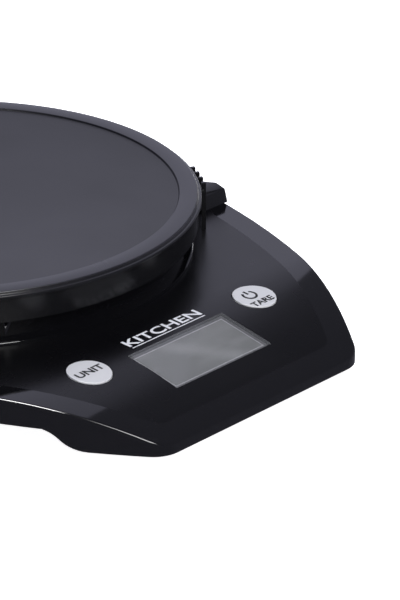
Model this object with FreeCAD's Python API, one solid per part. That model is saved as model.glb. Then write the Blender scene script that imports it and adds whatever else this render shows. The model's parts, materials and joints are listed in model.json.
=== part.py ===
import FreeCAD, Part
import math
import os

# Electronic kitchen scale: a round weighing tray over a low casing whose front runs out
# into a sloping control panel. Units are millimetres, +Z is up, the front is towards -Y,
# and the origin is the centre of the overall footprint on the table.

Vec = FreeCAD.Vector
UP = Vec(0, 0, 1)
ACROSS = Vec(1, 0, 0)

# ---------------------------------------------------------------- driving dimensions
# Sizes that others follow
TRAY_RADIUS = 80.0
TRAY_TOP = 33.5
FRONT_REACH = 132.0          # tray axis to the straight front edge

# Casing outline, measured from the tray's axis
REAR_RADIUS = TRAY_RADIUS + 6.0          # round back of the casing
SIDE_RADIUS = 278.0          # long gentle curve of each flank
FRONT_HALF_WIDTH = 42.9      # where flank and front edge would meet in a sharp corner
EAR_HALF_WIDTH = REAR_RADIUS + 0.6       # widest point of the flank
EAR_AHEAD = 0.4375 * TRAY_RADIUS         # widest point, ahead of the tray axis
EAR_RETURN = EAR_AHEAD - 14.0            # where the ear has turned back into the round rear
FRONT_CORNER_RADIUS = 9.5
EAR_CORNER_RADIUS = 6.0

# Casing heights
FOOT_PROUD = 1.0             # rubber feet below the casing
FRONT_WALL = 2.0             # casing wall thickness
FLOOR_THICKNESS = 1.6        # bottom cover
WING_TOP = 15.25             # flat part of the upper surface
WING_LOW = 7.5               # lower edge of the raised flank
CURVE_START = FRONT_REACH - 46.6         # where the panel begins to fall, ahead of the tray axis
CURVE_RADIUS = 102.0         # radius of the falling panel
RISE_START = FRONT_REACH - 19.0          # where the lower edge begins to rise, ahead of the tray axis
RISE_END = RISE_START - 15.0
PAN_INSET = 12.0             # step in from the flank to the lower pan
COVER_GAP = 0.15             # bottom cover inside the housing wall

# Drum under the tray
DRUM_RADIUS = TRAY_RADIUS - 5.0
DRUM_BELOW_CARRIER = 2.0
BASE_RING_RADIUS = TRAY_RADIUS - 2.5
BASE_RING_HEIGHT = 1.2

# Tray
TRAY_RIM_WIDTH = 6.9
TRAY_RECESS = 0.6
TRAY_PLATE = 1.8
TRAY_SKIRT_HEIGHT = 10.0
TRAY_SKIRT_WALL = 1.4
TRAY_LIP_PROUD = 1.0
TRAY_LIP_DROP = 1.0
TRAY_LIP_HEIGHT = 1.5
TRAY_LIFT_RIB_WALL = 1.5
TRAY_RIB_DEPTH = 2.7

# Weighing platform under the tray
CARRIER_RADIUS = TRAY_RADIUS - 12.0
CARRIER_PLATE = 2.0
CARRIER_FIT = 0.5            # carrier inside the tray's locating rib
PAD_HEIGHT = 1.1
PAD_WIDTH = 8.0
PAD_MARGIN = 2.0             # pad in from the carrier's edge
CARRIER_WINDOW_RADIUS = 0.206 * CARRIER_RADIUS
CARRIER_WINDOW_PITCH_RADIUS = 0.647 * CARRIER_RADIUS
CARRIER_WINDOWS = 6
HUB_LENGTH = 24.0
HUB_WIDTH = 15.0
HUB_SLOT_GAP = 1.2
HUB_SCREW_SEAT = 3.0         # screw seats above the hub's foot
SCREW_SLOT_HALF_LENGTH = 2.4
SCREW_SLOT_HALF_WIDTH = 0.4
SCREW_SLOT_DEPTH = 0.8

# Load cell
BEAM_LENGTH = 75.0
BEAM_SIDE = 12.7
BEAM_HOLE_RADIUS = 4.3
BEAM_HOLE_OFFSET = 6.0
BEAM_SCREW_NEAR = 22.0
BEAM_SCREW_FAR = 32.0
BEAM_SLOT_SHARE = 0.4        # half-height of the slot between the holes, over the hole radius
BEAM_SCREW_PAST_MIDDLE = 1.5
CELL_SCREW_RADIUS = 2.0
CELL_HEAD_RADIUS = 3.4
CELL_HEAD_HEIGHT = 2.0
CELL_POST_HEIGHT = 3.4       # post on the bottom cover, above the casing's underside
SPACER_HEIGHT = 2.0
SPACER_LENGTH = 20.0
GAUGE_THICKNESS = 0.5
GAUGE_HALF_LENGTH = 3.5
GAUGE_WIDTH_SHARE = 0.36     # half-width over the beam's side

# Control panel
PANEL_BORDER = 8.4           # glossy border beside the inlay
PANEL_FRONT_BORDER = 7.0
INLAY_THICKNESS = 0.8
INLAY_CORNER_RADIUS = 6.0
KINK_AHEAD = EAR_AHEAD + 10.0            # where the inlay's edge turns out towards the grip
INLAY_END = EAR_AHEAD + 3.0
BUTTON_RADIUS = 6.75
BUTTON_OFFSET = 36.5
BUTTON_AHEAD = FRONT_REACH - 36.0
BUTTON_GAP = 0.3
BUTTON_PROUD = 0.35
BUTTON_TRAVEL = 0.8
BUTTON_FLANGE_RADIUS = 8.2
BUTTON_FLANGE = 1.0
BUTTON_STEM_RADIUS = 2.4
BUTTON_HOLE_BOTTOM = 9.0     # the panel is pierced from here up
LENS_POCKET_TOP = 8.0
CLEARANCE = 0.2              # between parts that must not touch
LENS_WIDTH = 41.6
LENS_DEPTH = 20.0
LENS_THICKNESS = 1.5
LENS_PROUD = 0.15
LENS_CHAMFER = 0.5
LENS_GAP = 0.1
LENS_LEDGE = 1.8
DISPLAY_AHEAD = FRONT_REACH - 25.5

# Display stack
GLASS_WIDTH = LENS_WIDTH - 1.6
GLASS_DEPTH = LENS_DEPTH - 1.5
GLASS_THICKNESS = 1.6
GLASS_DROP = 2.75            # top of the glass below the panel surface
DIFFUSER_THICKNESS = 0.8
HOLDER_WALL = 2.0
LEG_SIDE = 2.0
STRIP_WIDTH = GLASS_WIDTH - 4.0
STRIP_THICKNESS = 1.6
STRIP_GAP = 0.2

# Circuit board
BOARD_HALF_WIDTH = 41.5
BOARD_FRONT = FRONT_REACH - 14.0
BOARD_BACK = FRONT_REACH - 46.0
BOARD_CORNER_RADIUS = 3.0
BOARD_THICKNESS = 1.2
BOARD_UNDERSIDE = 4.2
BOARD_SCREW_RADIUS = 1.0
BOARD_BOSS_RADIUS = 2.5
BOARD_SCREW_FRONT = (37.5, BOARD_FRONT - 6.0)
BOARD_SCREW_REAR = (22.0, BOARD_BACK + 3.5)
BOARD_SCREW_HEAD = 1.1
BOARD_SCREW_SPARE = 0.5      # hole left beyond the screw's tip
SWITCH_SIDE = 6.0
SWITCH_HEIGHT = 3.2
PLUNGER_RADIUS = 1.75
PLUNGER_GAP = 0.1
PLUNGER_WELL_FLOOR = 0.4
PLUNGER_WELL_PLAY = 0.2
SOCKET_OFFSET = 9.0
SOCKET_SIZE = (7.0, 4.0, 3.0)
CHIP_RADIUS = 3.5
CHIP_HEIGHT = 1.3
CHIP_BEHIND_SOCKETS = 0.5

# Battery compartment (two AAA cells)
CELL_RADIUS = 5.2
CELL_LENGTH = 44.5
CELL_NUB_LENGTH = 0.8
CELL_NUB_RADIUS = 1.9
CELL_RIM_RADIUS = 0.4
CELL_PITCH = 2 * CELL_RADIUS + 2.6
CELL_FLOOR_GAP = 0.5         # cell above the closed door
CELL_ROOF_GAP = 0.7
BATTERY_BEHIND = 36.5        # middle of the compartment, behind the tray axis
COMPARTMENT_WIDTH = CELL_PITCH + 2 * CELL_RADIUS + 1.6
COMPARTMENT_WALL = 1.2
CONTACT_THICKNESS = 0.4
CONTACT_HALF_HEIGHT = 4.0
CONTACT_HALF_WIDTH = 4.5
SPRING_LENGTH = 5.1
SPRING_RADIUS = 3.0
SPRING_WIRE = 0.3
SPRING_TURNS = 4
SPRING_STEPS_A_TURN = 8
DOOR_HALF_WIDTH = 29.0
DOOR_GAP = 0.1
DOOR_THICKNESS = 1.4
DOOR_TONGUE = 1.2
DOOR_TONGUE_THICKNESS = 0.7
DOOR_OVERLAP = 3.0
RAIL_HEIGHT = 3.0
RAIL_WIDTH = 2.0             # floor left beside and ahead of the door
DOOR_GROOVES = 4
DOOR_GROOVE_HALF_LENGTH = 9.0
DOOR_GROOVE_WIDTH = 1.0
DOOR_GROOVE_PITCH = 2.2
DOOR_GROOVE_DEPTH = 0.5
DOOR_GROOVE_FIRST = 10.0     # first groove, ahead of the door's rear edge

# Feet and fasteners
FOOT_RADIUS = 6.0
FOOT_RECESS = 0.8
FOOT_PLACES = ((38.0, 28.5 - FRONT_REACH), (0.605 * REAR_RADIUS, 0.43 * REAR_RADIUS))
CASE_SCREW_RADIUS = 1.25
CASE_SCREW_GAP = 0.25
CASE_HEAD_RADIUS = 2.5
CASE_HEAD_HEIGHT = 1.6
CASE_SCREW_LENGTH = 8.0
CASE_POST_RADIUS = 4.2
CASE_POST_HEIGHT = 4.0
CASE_BOSS_RADIUS = 3.4
CASE_CROSS_HALF_LENGTH = 1.6
CASE_CROSS_HALF_WIDTH = 0.35
CASE_CROSS_DEPTH = 0.7
CASE_SCREW_PLACES = ((49.0, 47.0 - FRONT_REACH), (0.744 * REAR_RADIUS, -12.0),
                     (0.523 * REAR_RADIUS, 0.593 * REAR_RADIUS))

# Side grips
GRIP_GAP = 0.8               # lug and wall stand off the tray by this
LUG_FRONT = -EAR_AHEAD - 6.5             # behind the tray axis, so a negative number is ahead
LUG_LENGTH = 8.0
LUG_HEIGHT = 5.2
LUG_SHOULDER = 4.6           # front slope ends this far behind the lug's front
LUG_CHIN = 1.2
LUG_CHIN_HEIGHT = 4.2
LUG_CORNER = 2.6             # cut off the rear outer corner
LUG_INNER = TRAY_RADIUS - 10.0
LUG_OUTER = EAR_HALF_WIDTH - 0.6
GRIP_WALL_RADIUS = TRAY_RADIUS + GRIP_GAP + 0.2
GRIP_WALL = 0.8
GRIP_TOP = TRAY_TOP - 5.0
GRIP_RIB_RADIUS = TRAY_RADIUS + 2.6
GRIP_RIB_TOP = TRAY_TOP - 2.6
GRIP_RIB_WIDTH = 1.3
GRIP_RIB_PITCH = 3.05        # degrees
GRIP_RIB_FIRST = -37.8       # degrees from the +X axis, negative is towards the front
GRIP_RIBS = 4
GRIP_WALL_SPARE = 1.5        # degrees of wall beyond the end ribs

# Leads
LEAD_RADIUS = 0.7
LEAD_OUT_HEIGHT = 4.6        # load-cell lead leaves this far above the beam's middle
SOCKET_RUN = 9.0             # straight run into a socket

# ---------------------------------------------------------------- derived places
AXIS_Y = (FRONT_REACH - REAR_RADIUS) / 2
CASE_BOTTOM = FOOT_PROUD
FLOOR_TOP = CASE_BOTTOM + FLOOR_THICKNESS
CEILING = WING_TOP - FRONT_WALL
BOARD_TOP = BOARD_UNDERSIDE + BOARD_THICKNESS
CELL_POST_TOP = CASE_BOTTOM + CELL_POST_HEIGHT
BEAM_BOTTOM = CELL_POST_TOP + SPACER_HEIGHT
BEAM_TOP = BEAM_BOTTOM + BEAM_SIDE
HUB_BOTTOM = BEAM_TOP + SPACER_HEIGHT
TRAY_FLOOR = TRAY_TOP - TRAY_RECESS
TRAY_UNDERSIDE = TRAY_FLOOR - TRAY_PLATE
TRAY_SKIRT_RADIUS = TRAY_RADIUS - TRAY_LIP_PROUD
CARRIER_TOP = TRAY_UNDERSIDE - PAD_HEIGHT
CARRIER_BOTTOM = CARRIER_TOP - CARRIER_PLATE
DRUM_TOP = CARRIER_BOTTOM - DRUM_BELOW_CARRIER
DRUM_CEILING = DRUM_TOP - FLOOR_THICKNESS
CASE_POST_TOP = CASE_BOTTOM + CASE_POST_HEIGHT
BATTERY_Y = AXIS_Y + BATTERY_BEHIND
COMPARTMENT_HALF_LENGTH = (CELL_LENGTH + SPRING_LENGTH + 2 * CONTACT_THICKNESS) / 2
DOOR_BOTTOM = CASE_BOTTOM + DOOR_GAP
DOOR_TOP = DOOR_BOTTOM + DOOR_THICKNESS
CELL_AXIS_Z = DOOR_TOP + CELL_FLOOR_GAP + CELL_RADIUS
COMPARTMENT_TOP = CELL_AXIS_Z + CELL_RADIUS + CELL_ROOF_GAP
TALL = 80.0                  # longer than any vertical feature
WIDE = 260.0                 # wider than the whole casing


# ---------------------------------------------------------------- small helpers
def at(x, ahead_of_axis, z=0.0):
    """A point from its place relative to the tray axis; a negative second value is ahead."""
    return Vec(x, AXIS_Y + ahead_of_axis, z)


def block(low, high):
    return Part.makeBox(high.x - low.x, high.y - low.y, high.z - low.z, low)


def post(radius, x, y, low, high):
    return Part.makeCylinder(radius, high - low, Vec(x, y, low), UP)


def prism(wire, low, high):
    face = Part.Face(wire)
    face.translate(Vec(0, 0, low - wire.BoundBox.ZMin))
    return face.extrude(Vec(0, 0, high - low))


def mirrored(shape):
    return shape.mirror(Vec(0, 0, 0), ACROSS)


def both_sides(shape):
    return [shape, mirrored(shape)]


def fuse(shapes):
    shapes = list(shapes)
    if len(shapes) == 1:
        return shapes[0]
    return shapes[0].multiFuse(shapes[1:]).removeSplitter()


def save(name, shapes):
    """Write one node: a single solid, or several separate ones."""
    shapes = shapes if isinstance(shapes, list) else [shapes]
    solids = [solid for shape in shapes for solid in shape.Solids]
    shape = solids[0] if len(solids) == 1 else Part.makeCompound(solids)
    if not shape.isValid():
        print("invalid shape:", name)
    shape.exportStep("parts/%s.step" % name)
    print("%-18s %2d solid(s) %10.1f mm3" % (name, len(solids), sum(s.Volume for s in solids)))


# ---------------------------------------------------------------- casing outline
def flank_half_width(ahead):
    """Half-width of the flank's circle, which passes through the ear."""
    rise = flank_centre_behind() + ahead
    centre_x = EAR_HALF_WIDTH - math.sqrt(SIDE_RADIUS**2 - (flank_centre_behind() + EAR_AHEAD)**2)
    return centre_x + math.sqrt(SIDE_RADIUS**2 - rise**2)


def flank_centre_behind():
    """How far behind the tray axis the flank circle's centre lies."""
    across = EAR_HALF_WIDTH - FRONT_HALF_WIDTH
    along = FRONT_REACH - EAR_AHEAD
    chord = math.hypot(across, along)
    to_centre = math.sqrt(SIDE_RADIUS**2 - (chord / 2)**2)
    middle = (FRONT_REACH + EAR_AHEAD) / 2
    return to_centre * across / chord - middle


def outline(inset=0.0, front_extra=0.0):
    """Closed casing outline; inset shrinks it all round, front_extra moves the front edge."""
    front = FRONT_REACH + front_extra
    corner = at(flank_half_width(front), -front)
    middle = (front + EAR_AHEAD) / 2
    flank = at(flank_half_width(middle), -middle)
    ear = at(EAR_HALF_WIDTH, -EAR_AHEAD)
    back = at(math.sqrt(REAR_RADIUS**2 - EAR_RETURN**2), -EAR_RETURN)
    flip = lambda p: Vec(-p.x, p.y, p.z)
    edges = [
        Part.LineSegment(flip(corner), corner),
        Part.Arc(corner, flank, ear),
        Part.LineSegment(ear, back),
        Part.Arc(back, at(0, REAR_RADIUS), flip(back)),
        Part.LineSegment(flip(back), flip(ear)),
        Part.Arc(flip(ear), flip(flank), flip(corner)),
    ]
    wire = Part.Wire([edge.toShape() for edge in edges])
    return wire.makeOffset2D(-inset, 2) if inset else wire


def round_upright_edges(solid, radius, keep):
    """Fillet the vertical edges whose middle passes the test keep(x, distance ahead)."""
    chosen = []
    for edge in solid.Edges:
        first, last = edge.firstVertex().Point, edge.lastVertex().Point
        upright = math.hypot(first.x - last.x, first.y - last.y) < 1e-6
        if upright and keep(abs(first.x), AXIS_Y - first.y):
            chosen.append(edge)
    return solid.makeFillet(radius, chosen)


def casing_prism(inset, low, high, front_extra=0.0):
    """Upright block of the casing outline with rounded front corners and ears."""
    solid = prism(outline(inset, front_extra), low, high)
    corner_radius = max(FRONT_CORNER_RADIUS - inset, 1.0)
    solid = round_upright_edges(solid, corner_radius, lambda x, ahead: ahead > RISE_START)
    return round_upright_edges(solid, EAR_CORNER_RADIUS,
                               lambda x, ahead: 0 < ahead < EAR_AHEAD + PANEL_BORDER)


def panel_height(ahead, depth=0.0):
    """Height of the upper surface, or of the surface a given depth below it."""
    if ahead <= CURVE_START:
        return WING_TOP - depth
    radius = CURVE_RADIUS - depth
    return WING_TOP - CURVE_RADIUS + math.sqrt(radius**2 - (ahead - CURVE_START)**2)


def across_casing(edges):
    """Extrude a closed side-view profile over the whole width."""
    face = Part.Face(Part.Wire([edge.toShape() for edge in edges]))
    face.translate(Vec(-WIDE / 2, 0, 0))
    return face.extrude(Vec(WIDE, 0, 0))


def under_surface(depth=0.0):
    """Everything below the upper surface, or below a surface parallel to it."""
    front = FRONT_REACH + 5.0
    middle = (front + CURVE_START) / 2
    start = at(0, -front, panel_height(front, depth))
    bend = at(0, -CURVE_START, panel_height(CURVE_START, depth))
    back_top = at(0, WIDE, WING_TOP - depth)
    back_low = at(0, WIDE, -TALL)
    front_low = at(0, -front, -TALL)
    return across_casing([
        Part.Arc(start, at(0, -middle, panel_height(middle, depth)), bend),
        Part.LineSegment(bend, back_top),
        Part.LineSegment(back_top, back_low),
        Part.LineSegment(back_low, front_low),
        Part.LineSegment(front_low, start),
    ])


def above_lower_edge(lift=0.0):
    """Everything above the lower edge, which rises in an S from the front to the flanks."""
    low, high = CASE_BOTTOM + lift, WING_LOW + lift
    run, rise = RISE_START - RISE_END, high - low
    radius = (run**2 + rise**2) / (4 * rise)
    half_turn = math.asin(run / (2 * radius)) / 2
    half_chord = 2 * radius * math.sin(half_turn / 2)
    step_y, step_z = half_chord * math.cos(half_turn / 2), half_chord * math.sin(half_turn / 2)
    front_low = at(0, -FRONT_REACH - 10, low)
    toe = at(0, -RISE_START, low)
    middle = at(0, -(RISE_START + RISE_END) / 2, (low + high) / 2)
    top = at(0, -RISE_END, high)
    lower_bow = at(0, -RISE_START + step_y, low + step_z)
    upper_bow = at(0, -RISE_END - step_y, high - step_z)
    back_low = at(0, WIDE, high)
    back_top = at(0, WIDE, TALL)
    front_top = at(0, -FRONT_REACH - 10, TALL)
    return across_casing([
        Part.LineSegment(front_low, toe),
        Part.Arc(toe, lower_bow, middle),
        Part.Arc(middle, upper_bow, top),
        Part.LineSegment(top, back_low),
        Part.LineSegment(back_low, back_top),
        Part.LineSegment(back_top, front_top),
        Part.LineSegment(front_top, front_low),
    ])


# ---------------------------------------------------------------- display frame of reference
DISPLAY_TILT = math.degrees(math.asin((DISPLAY_AHEAD - CURVE_START) / CURVE_RADIUS))


def on_display(shape):
    """Move a shape drawn about the display's centre onto the sloping panel."""
    shape = shape.copy()
    shape.rotate(Vec(0, 0, 0), ACROSS, DISPLAY_TILT)
    shape.translate(at(0, -DISPLAY_AHEAD, panel_height(DISPLAY_AHEAD)))
    return shape


def display_slab(width, depth, top, bottom, shift=0.0):
    """Flat block parallel to the display, from top to bottom below the panel surface."""
    return on_display(block(Vec(-width / 2, shift - depth / 2, -bottom),
                            Vec(width / 2, shift + depth / 2, -top)))


# ---------------------------------------------------------------- control panel inlay
def inlay_area():
    """Upright block over the area that the inlay covers."""
    extra = PANEL_BORDER - PANEL_FRONT_BORDER
    area = prism(outline(PANEL_BORDER, extra), -5, TALL)
    area = round_upright_edges(area, INLAY_CORNER_RADIUS, lambda x, ahead: ahead > RISE_START)
    area = area.common(block(at(-WIDE, -WIDE, -5), at(WIDE, -INLAY_END, TALL)))
    edge = flank_half_width(KINK_AHEAD) - PANEL_BORDER * 1.04
    turn = INLAY_END - KINK_AHEAD
    points = [at(edge + turn, -KINK_AHEAD, -5), at(edge, -KINK_AHEAD, -5),
              at(edge - 0.8 * turn, -INLAY_END, -5), at(edge + turn, -INLAY_END, -5)]
    wedge = prism(Part.makePolygon(points + points[:1]), -5, TALL)
    area = fuse([area] + both_sides(wedge))
    return area.cut(post(BASE_RING_RADIUS, 0, AXIS_Y, -10, TALL + 10))


def inlay_block():
    sheet = under_surface().cut(under_surface(INLAY_THICKNESS))
    return inlay_area().common(sheet).removeSplitter()


def button_holes(radius):
    return both_sides(post(radius, BUTTON_OFFSET, AXIS_Y - BUTTON_AHEAD, BUTTON_HOLE_BOTTOM, TALL))


def lens_pocket():
    return display_slab(LENS_WIDTH + 2 * LENS_GAP, LENS_DEPTH + 2 * LENS_GAP,
                        -LENS_POCKET_TOP, LENS_THICKNESS - LENS_PROUD)


def panel_inlay():
    return inlay_block().cut(fuse(button_holes(BUTTON_RADIUS + BUTTON_GAP))).cut(lens_pocket())


# ---------------------------------------------------------------- top housing
def top_housing():
    shell = casing_prism(0, CASE_BOTTOM, TALL)
    shell = shell.common(under_surface()).common(above_lower_edge())
    drum = post(DRUM_RADIUS, 0, AXIS_Y, CEILING, DRUM_TOP)
    ring = post(BASE_RING_RADIUS, 0, AXIS_Y, CEILING, WING_TOP + BASE_RING_HEIGHT)
    hollow = casing_prism(FRONT_WALL, -5, TALL).common(under_surface(FRONT_WALL))
    drum_room = post(DRUM_RADIUS - FRONT_WALL, 0, AXIS_Y, 0, DRUM_CEILING)
    body = fuse([shell, drum, ring]).cut(hollow).cut(drum_room)
    body = body.cut(inlay_block())
    # posts that the case screws and the board screws cut into
    posts = []
    for x, y in CASE_SCREW_PLACES:
        inside_drum = math.hypot(x, y) < DRUM_RADIUS - FRONT_WALL - CASE_BOSS_RADIUS
        roof = DRUM_CEILING if inside_drum else CEILING
        posts += both_sides(post(CASE_BOSS_RADIUS, x, AXIS_Y + y, CASE_POST_TOP, roof + 0.4))
    for x, ahead in (BOARD_SCREW_FRONT, BOARD_SCREW_REAR):
        roof = panel_height(ahead + BOARD_BOSS_RADIUS, FRONT_WALL) + 0.6
        posts += both_sides(post(BOARD_BOSS_RADIUS, x, AXIS_Y - ahead, BOARD_TOP, roof))
    body = fuse([body] + posts)
    holes = []
    for x, y in CASE_SCREW_PLACES:
        depth = CASE_POST_TOP + CASE_SCREW_LENGTH - 1.0
        holes += both_sides(post(CASE_SCREW_RADIUS, x, AXIS_Y + y, 0, depth))
    for x, ahead in (BOARD_SCREW_FRONT, BOARD_SCREW_REAR):
        holes += both_sides(post(BOARD_SCREW_RADIUS, x, AXIS_Y - ahead, 0, board_screw_top(ahead)))
    body = body.cut(fuse(holes))
    body = body.cut(fuse(button_holes(BUTTON_RADIUS + BUTTON_GAP))).cut(lens_pocket())
    window = display_slab(LENS_WIDTH - 2 * LENS_LEDGE, LENS_DEPTH - 2 * LENS_LEDGE, -2, 2 * FRONT_WALL)
    return body.cut(window).cut(hub_slot())


def board_screw_top(ahead):
    """The board screws end inside their posts, under the panel."""
    return panel_height(ahead + BOARD_BOSS_RADIUS, FRONT_WALL) - 0.4


def hub_slot():
    middle = (BEAM_SCREW_NEAR + BEAM_SCREW_FAR) / 2
    half_x, half_y = HUB_LENGTH / 2 + HUB_SLOT_GAP, HUB_WIDTH / 2 + HUB_SLOT_GAP
    return block(at(middle - half_x, -half_y, DRUM_TOP - 2 * FLOOR_THICKNESS),
                 at(middle + half_x, half_y, DRUM_TOP + 5))


# ---------------------------------------------------------------- bottom cover
def pan_prism(extra_inset, low, high):
    return prism(outline(PAN_INSET + extra_inset), low, high)


def rail_pad():
    """Thickened floor that the battery door slides under."""
    half = DOOR_HALF_WIDTH + DOOR_TONGUE + RAIL_WIDTH
    front = BATTERY_BEHIND - COMPARTMENT_WIDTH / 2 - DOOR_OVERLAP - RAIL_WIDTH
    pad = block(at(-half, front, CASE_BOTTOM),
                at(half, REAR_RADIUS, CASE_BOTTOM + RAIL_HEIGHT))
    return pad.common(pan_prism(0, 0, TALL))


def door_channel():
    front = BATTERY_BEHIND - COMPARTMENT_WIDTH / 2 - DOOR_OVERLAP - DOOR_GAP
    half = DOOR_HALF_WIDTH + DOOR_GAP
    tongue_low = DOOR_TOP - DOOR_TONGUE_THICKNESS - DOOR_GAP
    slot = block(at(-half, front, -5), at(half, WIDE, DOOR_TOP + DOOR_GAP))
    grooves = block(at(-half - DOOR_TONGUE, front, tongue_low),
                    at(half + DOOR_TONGUE, WIDE, DOOR_TOP + DOOR_GAP))
    return fuse([slot, grooves])


def compartment(grow, low, high):
    half_x = COMPARTMENT_HALF_LENGTH + grow
    half_y = COMPARTMENT_WIDTH / 2 + grow
    return block(at(-half_x, BATTERY_BEHIND - half_y, low), at(half_x, BATTERY_BEHIND + half_y, high))


def cell_pad():
    half = SPACER_LENGTH / 2
    middle = -(BEAM_SCREW_NEAR + BEAM_SCREW_FAR) / 2
    return block(at(middle - half, -BEAM_SIDE / 2, CASE_BOTTOM),
                 at(middle + half, BEAM_SIDE / 2, CELL_POST_TOP))


def bottom_cover():
    edge = FRONT_WALL + COVER_GAP
    sheet = above_lower_edge().cut(above_lower_edge(FLOOR_THICKNESS))
    sheet = casing_prism(edge, CASE_BOTTOM, WING_LOW + FLOOR_THICKNESS).common(sheet)
    pan = pan_prism(0, CASE_BOTTOM, TALL).cut(above_lower_edge(FLOOR_THICKNESS))
    cover = fuse([sheet, pan]).cut(pan_prism(FLOOR_THICKNESS, FLOOR_TOP, TALL))
    case_posts = []
    for x, y in CASE_SCREW_PLACES:
        case_posts += both_sides(post(CASE_POST_RADIUS, x, AXIS_Y + y, CASE_BOTTOM, CASE_POST_TOP))
    box = compartment(COMPARTMENT_WALL, CASE_BOTTOM, COMPARTMENT_TOP + COMPARTMENT_WALL)
    cover = fuse([cover, rail_pad(), box, cell_pad()] + case_posts)
    cuts = [door_channel(), compartment(0, -5, COMPARTMENT_TOP)]
    for x, y in CASE_SCREW_PLACES:
        seat = CASE_POST_TOP - FLOOR_THICKNESS
        cuts += both_sides(post(CASE_HEAD_RADIUS + CASE_SCREW_GAP, x, AXIS_Y + y, -5, seat))
        cuts += both_sides(post(CASE_SCREW_RADIUS + CASE_SCREW_GAP, x, AXIS_Y + y, -5, TALL))
    for x in (-BEAM_SCREW_NEAR, -BEAM_SCREW_FAR):
        cuts.append(post(CELL_HEAD_RADIUS + CASE_SCREW_GAP, x, AXIS_Y, -5, cell_seat()))
        cuts.append(post(CELL_SCREW_RADIUS, x, AXIS_Y, -5, CELL_POST_TOP + 1))
    for x, y in FOOT_PLACES:
        cuts += both_sides(post(FOOT_RADIUS, x, AXIS_Y + y, -5, CASE_BOTTOM + FOOT_RECESS))
    return cover.cut(fuse(cuts))


def cell_seat():
    """Seat of the load-cell screw heads inside the bottom cover's post."""
    return CASE_BOTTOM + CELL_HEAD_HEIGHT + CLEARANCE


def battery_door():
    front = BATTERY_BEHIND - COMPARTMENT_WIDTH / 2 - DOOR_OVERLAP
    plate = block(at(-DOOR_HALF_WIDTH, front, DOOR_BOTTOM), at(DOOR_HALF_WIDTH, REAR_RADIUS, DOOR_TOP))
    tongue = DOOR_HALF_WIDTH + DOOR_TONGUE
    tongues = block(at(-tongue, front, DOOR_TOP - DOOR_TONGUE_THICKNESS), at(tongue, REAR_RADIUS, DOOR_TOP))
    door = fuse([plate, tongues]).common(pan_prism(0, 0, TALL))
    # finger grooves across the door's outer face
    grooves = []
    for step in range(DOOR_GROOVES):
        behind = REAR_RADIUS - PAN_INSET - DOOR_GROOVE_FIRST + DOOR_GROOVE_PITCH * step
        grooves.append(block(at(-DOOR_GROOVE_HALF_LENGTH, behind, 0),
                             at(DOOR_GROOVE_HALF_LENGTH, behind + DOOR_GROOVE_WIDTH, DOOR_BOTTOM + DOOR_GROOVE_DEPTH)))
    return door.cut(fuse(grooves))


# ---------------------------------------------------------------- tray and platform
def turned(points):
    """Solid turned about the tray axis from (radius, height) points."""
    wire = Part.makePolygon([at(r, 0, z) for r, z in points] + [at(points[0][0], 0, points[0][1])])
    return Part.Face(wire).revolve(at(0, 0, 0), UP, 360)


def tray():
    recess = TRAY_RADIUS - TRAY_RIM_WIDTH
    flat_end = TRAY_SKIRT_RADIUS - 0.1
    lip_top = TRAY_TOP - TRAY_LIP_DROP
    lip_low = lip_top - TRAY_LIP_HEIGHT
    skirt_inner = TRAY_SKIRT_RADIUS - TRAY_SKIRT_WALL
    skirt_low = TRAY_TOP - TRAY_SKIRT_HEIGHT
    rib_inner = CARRIER_RADIUS + CARRIER_FIT
    rib_outer = rib_inner + TRAY_LIFT_RIB_WALL
    rib_low = TRAY_UNDERSIDE - TRAY_RIB_DEPTH
    shape = turned([
        (0, TRAY_FLOOR), (recess - 0.2, TRAY_FLOOR), (recess, TRAY_TOP), (flat_end, TRAY_TOP),
        (flat_end + 0.15, lip_top - 0.1), (TRAY_SKIRT_RADIUS + 0.35, lip_top),
        (TRAY_RADIUS, lip_top - 0.35), (TRAY_RADIUS, lip_low + 0.3), (TRAY_SKIRT_RADIUS, lip_low),
        (TRAY_SKIRT_RADIUS, skirt_low), (skirt_inner, skirt_low), (skirt_inner, TRAY_UNDERSIDE),
        (rib_outer, TRAY_UNDERSIDE), (rib_outer, rib_low), (rib_inner, rib_low),
        (rib_inner, TRAY_UNDERSIDE), (0, TRAY_UNDERSIDE),
    ])
    return shape


def tray_pad():
    outer = CARRIER_RADIUS - PAD_MARGIN
    ring = post(outer, 0, AXIS_Y, CARRIER_TOP, TRAY_UNDERSIDE)
    return ring.cut(post(outer - PAD_WIDTH, 0, AXIS_Y, CARRIER_TOP - 1, TRAY_TOP))


def hub_block(low, high):
    middle = (BEAM_SCREW_NEAR + BEAM_SCREW_FAR) / 2
    return block(at(middle - HUB_LENGTH / 2, -HUB_WIDTH / 2, low),
                 at(middle + HUB_LENGTH / 2, HUB_WIDTH / 2, high))


def upper_seat():
    """Seat of the screw heads inside the carrier's hub."""
    return HUB_BOTTOM + HUB_SCREW_SEAT


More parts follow.
